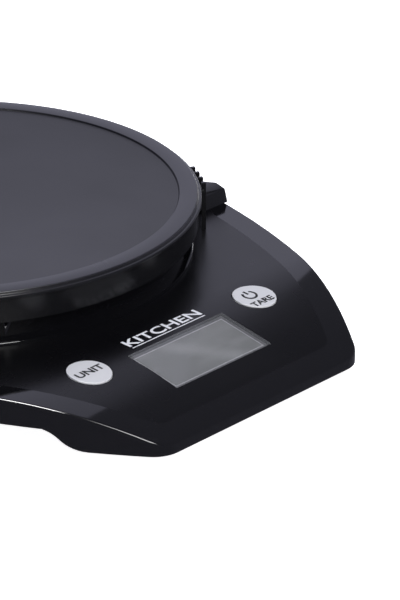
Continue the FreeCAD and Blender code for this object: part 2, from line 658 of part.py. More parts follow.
def platform_carrier():
    plate = post(CARRIER_RADIUS, 0, AXIS_Y, CARRIER_BOTTOM, CARRIER_TOP)
    body = fuse([plate, hub_block(HUB_BOTTOM, CARRIER_BOTTOM)])
    cuts = []
    for number in range(CARRIER_WINDOWS):
        turn = 2 * math.pi * (number + 0.5) / CARRIER_WINDOWS
        x = CARRIER_WINDOW_PITCH_RADIUS * math.cos(turn)
        y = CARRIER_WINDOW_PITCH_RADIUS * math.sin(turn)
        cuts.append(post(CARRIER_WINDOW_RADIUS, x, AXIS_Y + y, CARRIER_BOTTOM - 1, CARRIER_TOP + 1))
    for x in (BEAM_SCREW_NEAR, BEAM_SCREW_FAR):
        cuts.append(post(CELL_SCREW_RADIUS, x, AXIS_Y, 0, CARRIER_TOP + 1))
        cuts.append(post(CELL_HEAD_RADIUS + CASE_SCREW_GAP, x, AXIS_Y, upper_seat(), CARRIER_TOP + 1))
    keep = fuse([hub_block(HUB_BOTTOM, CARRIER_TOP)])
    windows = fuse(cuts[:CARRIER_WINDOWS]).cut(keep)
    return body.cut(windows).cut(fuse(cuts[CARRIER_WINDOWS:]))


# ---------------------------------------------------------------- load cell
def load_cell():
    half = BEAM_LENGTH / 2
    beam = block(at(-half, -BEAM_SIDE / 2, BEAM_BOTTOM), at(half, BEAM_SIDE / 2, BEAM_TOP))
    middle_z = (BEAM_BOTTOM + BEAM_TOP) / 2
    cuts = []
    for x in (-BEAM_HOLE_OFFSET, BEAM_HOLE_OFFSET):
        cuts.append(Part.makeCylinder(BEAM_HOLE_RADIUS, 2 * BEAM_SIDE, at(x, -BEAM_SIDE, middle_z), Vec(0, 1, 0)))
    web = BEAM_HOLE_RADIUS * BEAM_SLOT_SHARE
    cuts.append(block(at(-BEAM_HOLE_OFFSET, -BEAM_SIDE, middle_z - web),
                      at(BEAM_HOLE_OFFSET, BEAM_SIDE, middle_z + web)))
    for x in (BEAM_SCREW_NEAR, BEAM_SCREW_FAR):
        cuts.append(post(CELL_SCREW_RADIUS, -x, AXIS_Y, BEAM_BOTTOM - 1, cell_screw_end(-1)))
        cuts.append(post(CELL_SCREW_RADIUS, x, AXIS_Y, cell_screw_end(1), BEAM_TOP + 1))
    return beam.cut(fuse(cuts))


def cell_screw_end(side):
    """Height of the screw tips in the beam: -1 for the lower pair, 1 for the upper pair."""
    middle_z = (BEAM_BOTTOM + BEAM_TOP) / 2
    return middle_z - side * BEAM_SCREW_PAST_MIDDLE


def strain_gauges():
    pads = []
    for x in (-BEAM_HOLE_OFFSET, BEAM_HOLE_OFFSET):
        for low, high in ((BEAM_TOP, BEAM_TOP + GAUGE_THICKNESS), (BEAM_BOTTOM - GAUGE_THICKNESS, BEAM_BOTTOM)):
            half_width = BEAM_SIDE * GAUGE_WIDTH_SHARE
            pads.append(block(at(x - GAUGE_HALF_LENGTH, -half_width, low), at(x + GAUGE_HALF_LENGTH, half_width, high)))
    return pads


def spacer(side):
    middle = side * (BEAM_SCREW_NEAR + BEAM_SCREW_FAR) / 2
    low = BEAM_TOP if side > 0 else CELL_POST_TOP
    half = SPACER_LENGTH / 2
    shape = block(at(middle - half, -BEAM_SIDE / 2, low), at(middle + half, BEAM_SIDE / 2, low + SPACER_HEIGHT))
    for x in (BEAM_SCREW_NEAR, BEAM_SCREW_FAR):
        shape = shape.cut(post(CELL_SCREW_RADIUS, side * x, AXIS_Y, low - 1, low + SPACER_HEIGHT + 1))
    return shape


def screw_slot(x, low, high):
    return block(at(x - SCREW_SLOT_HALF_LENGTH, -SCREW_SLOT_HALF_WIDTH, low),
                 at(x + SCREW_SLOT_HALF_LENGTH, SCREW_SLOT_HALF_WIDTH, high))


def cell_screws(side):
    screws = []
    for x in (BEAM_SCREW_NEAR, BEAM_SCREW_FAR):
        if side < 0:
            shank = post(CELL_SCREW_RADIUS, -x, AXIS_Y, cell_seat(), cell_screw_end(side))
            head = post(CELL_HEAD_RADIUS, -x, AXIS_Y, cell_seat() - CELL_HEAD_HEIGHT, cell_seat())
            drive = screw_slot(-x, 0, cell_seat() - CELL_HEAD_HEIGHT + SCREW_SLOT_DEPTH)
        else:
            shank = post(CELL_SCREW_RADIUS, x, AXIS_Y, cell_screw_end(side), upper_seat())
            head = post(CELL_HEAD_RADIUS, x, AXIS_Y, upper_seat(), upper_seat() + CELL_HEAD_HEIGHT)
            drive = screw_slot(x, upper_seat() + CELL_HEAD_HEIGHT - SCREW_SLOT_DEPTH, TALL)
        screws.append(fuse([shank, head]).cut(drive))
    return screws


# ---------------------------------------------------------------- buttons and display
def flange_top():
    """The flange stays just under the lowest point of the panel's inside."""
    return panel_height(BUTTON_AHEAD + BUTTON_FLANGE_RADIUS, FRONT_WALL) - CLEARANCE


def plunger_top():
    return BOARD_TOP + SWITCH_HEIGHT + BUTTON_TRAVEL


def button():
    y = AXIS_Y - BUTTON_AHEAD
    low = flange_top() - BUTTON_FLANGE
    cap = post(BUTTON_RADIUS, BUTTON_OFFSET, y, low, TALL).common(under_surface(-BUTTON_PROUD))
    rim = max(cap.Edges, key=lambda edge: edge.BoundBox.ZMax if edge.Length > 3 * BUTTON_RADIUS else 0)
    cap = cap.makeFillet(BUTTON_PROUD * 0.7, [rim])
    flange = post(BUTTON_FLANGE_RADIUS, BUTTON_OFFSET, y, low, flange_top())
    stem = post(BUTTON_STEM_RADIUS, BUTTON_OFFSET, y, plunger_top(), low)
    return fuse([cap, flange, stem])


def plunger():
    y = AXIS_Y - BUTTON_AHEAD
    return post(PLUNGER_RADIUS, BUTTON_OFFSET, y, plunger_top() - SWITCH_HEIGHT + PLUNGER_WELL_FLOOR + PLUNGER_WELL_PLAY,
                plunger_top())


def tactile_switch():
    half = SWITCH_SIDE / 2
    y = -BUTTON_AHEAD
    body = block(at(BUTTON_OFFSET - half, y - half, BOARD_TOP),
                 at(BUTTON_OFFSET + half, y + half, BOARD_TOP + SWITCH_HEIGHT))
    well = post(PLUNGER_RADIUS + PLUNGER_GAP, BUTTON_OFFSET, AXIS_Y + y, BOARD_TOP + PLUNGER_WELL_FLOOR, TALL)
    return body.cut(well)


def display_lens():
    lens = block(Vec(-LENS_WIDTH / 2, -LENS_DEPTH / 2, LENS_PROUD - LENS_THICKNESS),
                 Vec(LENS_WIDTH / 2, LENS_DEPTH / 2, LENS_PROUD))
    top = [edge for edge in lens.Edges if edge.BoundBox.ZMin > LENS_PROUD - 1e-3]
    return on_display(lens.makeChamfer(LENS_CHAMFER, top))


def lcd_glass():
    return display_slab(GLASS_WIDTH, GLASS_DEPTH, GLASS_DROP, GLASS_DROP + GLASS_THICKNESS)


def diffuser_depth():
    """The diffuser leaves room behind it for the conductive strip."""
    return GLASS_DEPTH - 2 * STRIP_THICKNESS


def light_diffuser():
    top = GLASS_DROP + GLASS_THICKNESS
    return display_slab(GLASS_WIDTH, diffuser_depth(), top, top + DIFFUSER_THICKNESS, -STRIP_THICKNESS)


def lcd_holder():
    bottom = GLASS_DROP + GLASS_THICKNESS + DIFFUSER_THICKNESS
    frame = display_slab(GLASS_WIDTH + 2 * HOLDER_WALL, GLASS_DEPTH + 2 * HOLDER_WALL, GLASS_DROP, bottom)
    frame = frame.cut(display_slab(GLASS_WIDTH, GLASS_DEPTH, GLASS_DROP - 1, bottom + 1))
    reach = (GLASS_DEPTH / 2 + HOLDER_WALL / 2) * math.cos(math.radians(DISPLAY_TILT))
    x = GLASS_WIDTH / 2 + HOLDER_WALL / 2
    legs = []
    for ahead in (DISPLAY_AHEAD - reach, DISPLAY_AHEAD + reach):
        slope = math.tan(math.radians(DISPLAY_TILT))
        top = panel_height(DISPLAY_AHEAD) - (ahead - DISPLAY_AHEAD) * slope - (GLASS_DROP + bottom) / 2
        half = LEG_SIDE / 2
        legs += both_sides(block(at(x - half, -ahead - half, BOARD_TOP), at(x + half, -ahead + half, top)))
    return fuse([frame] + legs)


def elastomer_strip():
    tilt = math.radians(DISPLAY_TILT)
    diffuser_bottom = GLASS_DROP + GLASS_THICKNESS + DIFFUSER_THICKNESS
    diffuser_rear = diffuser_depth() / 2 - STRIP_THICKNESS
    half = STRIP_THICKNESS / 2
    behind = (diffuser_rear + STRIP_GAP) * math.cos(tilt) + diffuser_bottom * math.sin(tilt) + half
    ahead = DISPLAY_AHEAD - behind
    bar = block(at(-STRIP_WIDTH / 2, -ahead - half, BOARD_TOP), at(STRIP_WIDTH / 2, -ahead + half, TALL))
    glass_underside = GLASS_DROP + GLASS_THICKNESS
    return bar.common(display_slab(WIDE, WIDE, glass_underside, TALL))


# ---------------------------------------------------------------- circuit board
def circuit_board():
    board = block(at(-BOARD_HALF_WIDTH, -BOARD_FRONT, BOARD_UNDERSIDE),
                  at(BOARD_HALF_WIDTH, -BOARD_BACK, BOARD_TOP))
    board = round_upright_edges(board, BOARD_CORNER_RADIUS, lambda x, ahead: True)
    for x, ahead in (BOARD_SCREW_FRONT, BOARD_SCREW_REAR):
        for side in (-1, 1):
            board = board.cut(post(BOARD_SCREW_RADIUS + COVER_GAP, side * x, AXIS_Y - ahead, 0, TALL))
    return board


def board_screws():
    screws = []
    for x, ahead in (BOARD_SCREW_FRONT, BOARD_SCREW_REAR):
        y = AXIS_Y - ahead
        head = post(BOARD_SCREW_RADIUS * 2, x, y, BOARD_UNDERSIDE - BOARD_SCREW_HEAD, BOARD_UNDERSIDE)
        shank = post(BOARD_SCREW_RADIUS, x, y, BOARD_UNDERSIDE, board_screw_top(ahead) - BOARD_SCREW_SPARE)
        screws += both_sides(fuse([head, shank]))
    return screws


def lead_sockets():
    width, depth, height = SOCKET_SIZE
    socket = block(at(SOCKET_OFFSET - width / 2, -BOARD_BACK - depth, BOARD_TOP),
                   at(SOCKET_OFFSET + width / 2, -BOARD_BACK, BOARD_TOP + height))
    return both_sides(socket)


def chip_cover():
    radius = (CHIP_RADIUS**2 + CHIP_HEIGHT**2) / (2 * CHIP_HEIGHT)
    y = AXIS_Y - BOARD_BACK - SOCKET_SIZE[1] - CHIP_RADIUS - CHIP_BEHIND_SOCKETS
    ball = Part.makeSphere(radius, Vec(0, y, BOARD_TOP + CHIP_HEIGHT - radius))
    return ball.common(post(2 * radius, 0, y, BOARD_TOP, TALL))


# ---------------------------------------------------------------- batteries
def battery_cell():
    """One cell, its positive end towards +X, drawn in the front half of the compartment."""
    y = BATTERY_Y - CELL_PITCH / 2
    start = COMPARTMENT_HALF_LENGTH - CONTACT_THICKNESS - CELL_LENGTH
    can = Part.makeCylinder(CELL_RADIUS, CELL_LENGTH - CELL_NUB_LENGTH, Vec(start, y, CELL_AXIS_Z), ACROSS)
    rims = [edge for edge in can.Edges if edge.BoundBox.XLength < 1e-6]
    can = can.makeFillet(CELL_RIM_RADIUS, rims)
    nub = Part.makeCylinder(CELL_NUB_RADIUS, CELL_LENGTH - 1.0, Vec(start + 1.0, y, CELL_AXIS_Z), ACROSS)
    return fuse([can, nub])


def half_turn_about_compartment(shape):
    shape = shape.copy()
    shape.rotate(Vec(0, BATTERY_Y, 0), UP, 180)
    return shape


def battery_spring():
    steps = SPRING_TURNS * SPRING_STEPS_A_TURN
    free = SPRING_LENGTH - 3 * SPRING_WIRE
    start = Vec(-COMPARTMENT_HALF_LENGTH + CONTACT_THICKNESS + 1.5 * SPRING_WIRE,
                BATTERY_Y - CELL_PITCH / 2, CELL_AXIS_Z)
    points = []
    for step in range(steps + 1):
        turn = 2 * math.pi * step / SPRING_STEPS_A_TURN
        points.append(start + Vec(free * step / steps, SPRING_RADIUS * math.cos(turn),
                                  SPRING_RADIUS * math.sin(turn)))
    return tube(points, SPRING_WIRE)[0]


def battery_contacts():
    reach = COMPARTMENT_HALF_LENGTH
    low, high = CELL_AXIS_Z - CONTACT_HALF_HEIGHT, CELL_AXIS_Z + CONTACT_HALF_HEIGHT
    link_half = CELL_PITCH / 2 + CONTACT_HALF_WIDTH
    link = block(at(reach - CONTACT_THICKNESS, BATTERY_BEHIND - link_half, low),
                 at(reach, BATTERY_BEHIND + link_half, high))
    tabs = []
    for side in (-1, 1):
        middle = BATTERY_BEHIND + side * CELL_PITCH / 2
        tabs.append(block(at(-reach, middle - CONTACT_HALF_WIDTH, low),
                          at(-reach + CONTACT_THICKNESS, middle + CONTACT_HALF_WIDTH, high)))
    return [link] + tabs


# ---------------------------------------------------------------- feet, screws, grips, leads
def rubber_feet():
    feet = []
    for x, y in FOOT_PLACES:
        foot = post(FOOT_RADIUS, x, AXIS_Y + y, 0, CASE_BOTTOM + FOOT_RECESS)
        lowest = [edge for edge in foot.Edges if edge.BoundBox.ZMax < 1e-3]
        feet += both_sides(foot.makeFillet(FOOT_PROUD * 0.5, lowest))
    return feet


def case_screws():
    screws = []
    seat = CASE_POST_TOP - FLOOR_THICKNESS
    for x, y in CASE_SCREW_PLACES:
        head = post(CASE_HEAD_RADIUS, x, AXIS_Y + y, seat - CASE_HEAD_HEIGHT, seat)
        shank = post(CASE_SCREW_RADIUS, x, AXIS_Y + y, seat, seat + CASE_SCREW_LENGTH)
        long, wide, top = CASE_CROSS_HALF_LENGTH, CASE_CROSS_HALF_WIDTH, seat - CASE_HEAD_HEIGHT + CASE_CROSS_DEPTH
        cross = fuse([block(at(x - long, y - wide, 0), at(x + long, y + wide, top)),
                      block(at(x - wide, y - long, 0), at(x + wide, y + long, top))])
        screws += both_sides(fuse([head, shank]).cut(cross))
    return screws


def side_grip():
    """Lug and short ribs that stand on the wing beside the tray."""
    rear = LUG_FRONT + LUG_LENGTH
    profile = [at(LUG_INNER, LUG_FRONT, WING_TOP), at(LUG_INNER, LUG_FRONT + LUG_CHIN, WING_TOP + LUG_CHIN_HEIGHT),
               at(LUG_INNER, LUG_FRONT + LUG_SHOULDER, WING_TOP + LUG_HEIGHT),
               at(LUG_INNER, rear, WING_TOP + LUG_HEIGHT), at(LUG_INNER, rear, WING_TOP)]
    face = Part.Face(Part.makePolygon(profile + profile[:1]))
    lug = face.extrude(Vec(LUG_OUTER - LUG_INNER, 0, 0))
    past = 2.0
    corner = [at(LUG_OUTER - LUG_CORNER, rear + past, WING_TOP - 1), at(LUG_OUTER + past, rear + past, WING_TOP - 1),
              at(LUG_OUTER + past, LUG_FRONT + past, WING_TOP - 1)]
    lug = lug.cut(Part.Face(Part.makePolygon(corner + corner[:1])).extrude(Vec(0, 0, 2 * LUG_HEIGHT)))
    tray_room = post(TRAY_RADIUS + GRIP_GAP, 0, AXIS_Y, WING_TOP + BASE_RING_HEIGHT, TALL)
    lug = lug.cut(fuse([tray_room, post(BASE_RING_RADIUS, 0, AXIS_Y, 0, TALL)]))
    first, last = GRIP_RIB_FIRST, GRIP_RIB_FIRST + GRIP_RIB_PITCH * (GRIP_RIBS - 1)
    wall = Part.makeCylinder(GRIP_WALL_RADIUS + GRIP_WALL, GRIP_TOP - WING_TOP, at(0, 0, WING_TOP), UP,
                             last - first + 2 * GRIP_WALL_SPARE)
    wall.rotate(at(0, 0, 0), UP, first - GRIP_WALL_SPARE)
    wall = wall.cut(post(GRIP_WALL_RADIUS, 0, AXIS_Y, 0, TALL))
    ribs = []
    for number in range(GRIP_RIBS):
        rib = block(at(GRIP_WALL_RADIUS + CLEARANCE, -GRIP_RIB_WIDTH / 2, WING_TOP),
                    at(GRIP_RIB_RADIUS, GRIP_RIB_WIDTH / 2, GRIP_RIB_TOP))
        rib.rotate(at(0, 0, 0), UP, first + number * GRIP_RIB_PITCH)
        ribs.append(rib)
    return fuse([lug, wall] + ribs)


def tube(points, radius):
    """Round tube along straight runs joined by tangent arcs; returns it, its path and the radii."""
    edges, radii, start = [], [], points[0]
    for before, corner, after in zip(points, points[1:], points[2:]):
        incoming, outgoing = corner - before, after - corner
        turn = incoming.getAngle(outgoing)
        cut = 0.45 * min(incoming.Length, outgoing.Length)
        radii.append(cut / math.tan(turn / 2))
        into = corner - Vec(incoming).normalize() * cut
        out = corner + Vec(outgoing).normalize() * cut
        bisector = (into + out) * 0.5 - corner
        centre_distance = math.hypot(radii[-1], cut)
        middle = corner + Vec(bisector).normalize() * (centre_distance - radii[-1])
        edges += [Part.LineSegment(start, into).toShape(), Part.Arc(into, middle, out).toShape()]
        start = out
    edges.append(Part.LineSegment(start, points[-1]).toShape())
    path = Part.Wire(edges)
    section = Part.Wire([Part.Circle(points[0], points[1] - points[0], radius).toShape()])
    return path.makePipeShell([section], True, False), path, radii


def lead(points, name):
    """Insulated lead whose arcs are as large as its runs allow."""
    solid, path, radii = tube(points, LEAD_RADIUS)
    expected = math.pi * LEAD_RADIUS**2 * path.Length
    print("%s radii %s volume ratio %.4f" % (name, [round(r, 1) for r in radii], solid.Volume / expected))
    return solid


def socket_mouth(side):
    return at(side * SOCKET_OFFSET, -BOARD_BACK, BOARD_TOP + SOCKET_SIZE[2] / 2)


def load_cell_lead():
    mouth = socket_mouth(1)
    side = -BEAM_SIDE / 2
    middle_z = (BEAM_BOTTOM + BEAM_TOP) / 2
    straight_in = Vec(mouth.x, mouth.y + SOCKET_RUN, mouth.z)
    return lead([at(0, side, middle_z + LEAD_OUT_HEIGHT), at(0, side - 8, middle_z + LEAD_OUT_HEIGHT), at(1.5, side - 17, middle_z + 1.5),
                 at(4, side - 29, middle_z - 3), at(7, side - 43, 8.2), at(10, side - 57, 6.8),
                 straight_in, mouth], "load_cell_lead")


def battery_lead():
    mouth = socket_mouth(-1)
    wall = BATTERY_BEHIND - COMPARTMENT_WIDTH / 2 - COMPARTMENT_WALL
    under = (FLOOR_TOP + BEAM_BOTTOM) / 2
    straight_in = Vec(mouth.x, mouth.y + SOCKET_RUN, mouth.z)
    return lead([at(-9, wall, 7.0), at(-9, wall - 5, 7.0), at(-10.2, wall - 12, under + 0.5),
                 at(-11, 0, under), at(-12, -16, under + 0.2), at(-13, -32, 5.4), at(-12, -50, 6.6),
                 at(-10, -66, 7.1), straight_in, mouth], "battery_lead")


# ---------------------------------------------------------------- write every node
def main():
    os.makedirs("parts", exist_ok=True)
    save("top_housing", top_housing())
    save("bottom_cover", bottom_cover())
    save("panel_inlay", panel_inlay())
    save("side_grip_right", side_grip())
    save("side_grip_left", mirrored(side_grip()))
    save("tray", tray())
    save("tray_pad", tray_pad())
    save("platform_carrier", platform_carrier())
    save("load_cell", load_cell())
    save("strain_gauges", strain_gauges())
    save("lower_spacer", spacer(-1))
    save("upper_spacer", spacer(1))
    save("lower_cell_screws", cell_screws(-1))
    save("upper_cell_screws", cell_screws(1))
    save("tare_button", button())
    save("unit_button", mirrored(button()))
    save("tare_plunger", plunger())
    save("unit_plunger", mirrored(plunger()))
    save("tactile_switches", both_sides(tactile_switch()))
    save("display_lens", display_lens())
    save("lcd_glass", lcd_glass())
    save("light_diffuser", light_diffuser())
    save("lcd_holder", lcd_holder())
    save("elastomer_strip", elastomer_strip())
    save("circuit_board", circuit_board())
    save("board_screws", board_screws())
    save("lead_sockets", lead_sockets())
    save("chip_cover", chip_cover())
    save("battery_cells", [battery_cell(), half_turn_about_compartment(battery_cell())])
    save("battery_springs", [battery_spring(), half_turn_about_compartment(battery_spring())])
    save("battery_contacts", battery_contacts())
    save("battery_door", battery_door())
    save("rubber_feet", rubber_feet())
    save("case_screws", case_screws())
    save("load_cell_lead", load_cell_lead())
    save("battery_lead", battery_lead())


main()
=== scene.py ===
# %% [markdown]
# # A kitchen scale, finished for looks
#
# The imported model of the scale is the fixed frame: it says where every piece is and what
# moves. This lesson gives each piece the softness, grain and print of the real object.
# Everything is in metres, +Z is up and the front of the scale, with its display, faces -Y.

# %% Load the frame
import json
import math

import bmesh
import bpy
from mathutils import Matrix, Vector


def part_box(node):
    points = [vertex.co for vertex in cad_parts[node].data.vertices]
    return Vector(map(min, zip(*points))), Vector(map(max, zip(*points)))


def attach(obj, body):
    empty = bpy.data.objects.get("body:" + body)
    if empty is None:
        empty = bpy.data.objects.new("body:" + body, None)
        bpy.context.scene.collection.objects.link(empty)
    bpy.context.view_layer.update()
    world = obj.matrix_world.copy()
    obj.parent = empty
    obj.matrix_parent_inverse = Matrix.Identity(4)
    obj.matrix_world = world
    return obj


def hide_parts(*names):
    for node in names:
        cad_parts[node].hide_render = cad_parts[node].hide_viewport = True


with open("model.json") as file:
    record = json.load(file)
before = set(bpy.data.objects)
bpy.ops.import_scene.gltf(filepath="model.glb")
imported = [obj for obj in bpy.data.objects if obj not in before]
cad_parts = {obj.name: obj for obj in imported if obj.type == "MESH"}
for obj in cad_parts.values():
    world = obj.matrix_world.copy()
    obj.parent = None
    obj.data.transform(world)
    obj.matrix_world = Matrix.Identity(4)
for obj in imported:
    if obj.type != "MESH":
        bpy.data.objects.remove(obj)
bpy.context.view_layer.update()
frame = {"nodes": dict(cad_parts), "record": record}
NODES = frame["nodes"]
BODY_OF = {name: body
           for body, names in frame["record"]["behaviour"]["bodies"].items()
           for name in names}
SLOT_OF = {part["node"]: part["material_slot"] for part in frame["record"]["subparts"]}
MM = 0.001

# %% [markdown]
# ## Camera
#
# The scale is looked down on from its front left corner with a long lens, from far enough
# away for the round tray to stay a near-true ellipse. A camera is easiest to reason about as
# an aim point, a compass direction, a height angle and a distance, so it is placed from those.

# %% Camera
LENS_LENGTH = 252.3
LOOKING_DOWN = math.radians(23.97)
TURNED_LEFT = math.radians(48.18)
DISTANCE = 1269.3 * MM
AIM = Vector((22.25, -63.7, 15.5)) * MM
NEAREST, FARTHEST = 0.01, 20


def place_camera():
    """Camera at a distance from the aim point, turned left and looking down."""
    forward = Vector((math.sin(TURNED_LEFT) * math.cos(LOOKING_DOWN),
                      math.cos(TURNED_LEFT) * math.cos(LOOKING_DOWN),
                      -math.sin(LOOKING_DOWN)))
    data = bpy.data.cameras.new("camera")
    data.lens = LENS_LENGTH
    data.clip_start, data.clip_end = NEAREST, FARTHEST
    camera = bpy.data.objects.new("camera", data)
    bpy.context.scene.collection.objects.link(camera)
    camera.location = AIM - forward * DISTANCE
    camera.rotation_euler = forward.to_track_quat("-Z", "Y").to_euler()
    bpy.context.scene.camera = camera
    return camera


camera = place_camera()
print("camera stands at", tuple(round(v, 3) for v in camera.location))

# %% [markdown]
# ## Shader helpers
#
# Every finish, and the room's light as well, is a small network of nodes. Four helpers add
# the nodes that come back again and again: noise, a change of range, a mix of two colours
# and a sum. Each takes a plain value or another node's output, so they read like arithmetic.
# The noise is read in the object's own coordinates, which stay with a piece when it moves.

# %% Noise, ranges, colour mixes and sums
def object_noise(tree, scale, detail, stretch=(1, 1, 1)):
    """Noise on object coordinates, optionally stretched along an axis."""
    place = tree.nodes.new("ShaderNodeTexCoord")
    mapping = tree.nodes.new("ShaderNodeMapping")
    mapping.inputs["Scale"].default_value = stretch
    noise = tree.nodes.new("ShaderNodeTexNoise")
    noise.inputs["Scale"].default_value = scale
    noise.inputs["Detail"].default_value = detail
    tree.links.new(place.outputs["Object"], mapping.inputs["Vector"])
    tree.links.new(mapping.outputs["Vector"], noise.inputs["Vector"])
    return noise.outputs["Fac"]


def ranged(tree, source, low, high, at_low, at_high, smooth=False):
    """Map a value from one range to another, clamped."""
    node = tree.nodes.new("ShaderNodeMapRange")
    node.interpolation_type = "SMOOTHSTEP" if smooth else "LINEAR"
    sockets = ("From Min", "From Max", "To Min", "To Max")
    for socket, value in zip(sockets, (low, high, at_low, at_high)):
        node.inputs[socket].default_value = value
    tree.links.new(source, node.inputs["Value"])
    return node.outputs["Result"]


def blended(tree, factor, first, second):
    """Mix of two colours; each is a plain colour or another node's output."""
    node = tree.nodes.new("ShaderNodeMix")
    node.data_type = "RGBA"
    tree.links.new(factor, node.inputs["Factor"])
    for socket, value in (("A", first), ("B", second)):
        if isinstance(value, tuple):
            node.inputs[socket].default_value = value + (1,)
        else:
            tree.links.new(value, node.inputs[socket])
    return node.outputs["Result"]


def calculated(tree, operation, first, second=0.0):
    """One sum; each operand is a number or another node's output."""
    node = tree.nodes.new("ShaderNodeMath")
    node.operation = operation
    for socket, value in enumerate((first, second)):
        if isinstance(value, (int, float)):
            node.inputs[socket].default_value = value
        else:
            tree.links.new(value, node.inputs[socket])
    return node.outputs[0]


def new_finish(name):
    """An empty finish: the material, its node tree and its shader."""
    material = bpy.data.materials.new(name)
    material.use_nodes = True
    tree = material.node_tree
    return material, tree, tree.nodes["Principled BSDF"]


print("helpers ready: noise, ranges, colour mixes and sums")

# %% [markdown]
# ## Floor and room
#
# Glossy black plastic shows hardly any colour of its own: it shows the room. The floor is
# white and gives off a little light, so that it stays white in the scale's shade, and it is
# left out of reflections. The room is dim overhead and underfoot, with a pale band along the
# horizon that the rounded edges pick up.

# %% White floor
FLOOR_SIZE = 6.0
FLOOR_LOOK = {"Base Color": (0.9, 0.9, 0.9, 1), "Roughness": 0.9, "Specular IOR Level": 0.1,
              "Emission Color": (1, 1, 1, 1), "Emission Strength": 0.97}


def build_floor():
    """White floor that reflections leave out."""
    mesh = bpy.data.meshes.new("floor")
    shape = bmesh.new()
    bmesh.ops.create_grid(shape, x_segments=1, y_segments=1, size=FLOOR_SIZE)
    shape.to_mesh(mesh)
    shape.free()
    floor = bpy.data.objects.new("floor", mesh)
    bpy.context.scene.collection.objects.link(floor)
    paint, tree, shader = new_finish("floor_paint")
    for socket, value in FLOOR_LOOK.items():
        shader.inputs[socket].default_value = value
    mesh.materials.append(paint)
    floor.visible_glossy = False
    return floor


print("floor:", build_floor().name)

# %% Room light
DIM, PALE = 0.20, 0.30
BAND_FOOT = (-0.12, 0.0)
BAND_TOP = (0.17, 0.30)
COOL = (0.87, 0.87, 1.09)


def build_room():
    """World light: a pale band just above the horizon, dim above and below it."""
    world = bpy.data.worlds.new("studio_room")
    bpy.context.scene.world = world
    world.use_nodes = True
    tree = world.node_tree
    direction = tree.nodes.new("ShaderNodeTexCoord")
    split = tree.nodes.new("ShaderNodeSeparateXYZ")
    tree.links.new(direction.outputs["Generated"], split.inputs[0])
    above = ranged(tree, split.outputs["Z"], *BAND_TOP, PALE, DIM, smooth=True)
    below = ranged(tree, split.outputs["Z"], *BAND_FOOT, DIM, PALE, smooth=True)
    background = tree.nodes["Background"]
    background.inputs["Color"].default_value = (*COOL, 1)
    tree.links.new(calculated(tree, "MINIMUM", above, below), background.inputs["Strength"])


build_room()
print("room: brightness", DIM, "with a band of", PALE)

# %% [markdown]
# ## Soft lights
#
# A big soft panel stands close behind the scale on its right. The flat wing mirrors that
# panel, and where the panel stops the mirror image stops as well, in a crisp line: that line
# is what makes the plastic look glossy. A key light in front fills the white buttons. Two
# small bright lights only show in gloss: one overhead draws the thin line along the casing's
# left edge, and one low on the right draws the line along the tray's lip.

# %% A rectangular light
SCALE_MIDDLE = (0, 0, 0)


def softbox(name, place, towards, size, radiance, only_gloss=False):
    """Rectangular light at a place, facing a point; its power follows from its brightness."""
    data = bpy.data.lights.new(name, "AREA")
    data.shape = "RECTANGLE"
    data.size, data.size_y = size
    data.energy = radiance * math.pi * size[0] * size[1]
    lamp = bpy.data.objects.new(name, data)
    bpy.context.scene.collection.objects.link(lamp)
    lamp.location = place
    lamp.visible_diffuse = not only_gloss
    facing = Vector(towards) - Vector(place)
    lamp.rotation_euler = facing.to_track_quat("-Z", "Y").to_euler()
    return lamp


print("lights look at", SCALE_MIDDLE)

# %% The mirrored panel
PANEL_TURN, PANEL_LIFT = math.radians(52), math.radians(30)
PANEL_DISTANCE = 0.40
PANEL_RIGHT_EDGE = 0.065
PANEL_RISE = 0.06
PANEL_SIZE = (0.55, 0.72)
PANEL_RADIANCE = 0.52
WING_FRONT = Vector((0, -0.060, 0.015))


def back_panel():
    """The panel that the wing mirrors, placed by its right-hand edge."""
    away = Vector((math.sin(PANEL_TURN) * math.cos(PANEL_LIFT),
                   math.cos(PANEL_TURN) * math.cos(PANEL_LIFT),
                   math.sin(PANEL_LIFT)))
    right = Vector((math.cos(PANEL_TURN), -math.sin(PANEL_TURN), 0))
    up = away.cross(right) * -1
    middle = (WING_FRONT + away * PANEL_DISTANCE
              + right * (PANEL_RIGHT_EDGE - PANEL_SIZE[0] / 2) + up * PANEL_RISE)
    lamp = softbox("back_panel", middle, middle - away, PANEL_SIZE, PANEL_RADIANCE)
    lamp.data.color = COOL
    return lamp


back_panel()
softbox("key_front", (-0.60, -1.25, 1.45), SCALE_MIDDLE, size=(0.9, 0.9), radiance=13.0)
softbox("edge_light", (-0.62, -0.14, 1.02), SCALE_MIDDLE, size=(0.45, 0.40), radiance=55.0,
        only_gloss=True)
softbox("lip_light", (1.39, 0.56, 0.10), SCALE_MIDDLE, size=(0.5, 0.12), radiance=3.4,
        only_gloss=True)
bpy.context.scene.view_settings.view_transform = "Standard"

# %% [markdown]
# ## Finishes
#
# Moulded plastic is never one flat value. The mould leaves a fine grain, handling leaves
# patches that shine a little more or less, and the colour drifts slightly. One function makes
# such a finish from three layers: fine grain as bump, broad patches in the roughness, and a
# faint drift in colour. Numbers that are the same all over go straight on the shader.

# %% One recipe for moulded, metal and rubber finishes
NOISE_MIDDLE = (0.3, 0.7)
SMOOTHEST = 0.02
DRIFT_FINER = 2.3
GRAIN_STRENGTH = 0.6


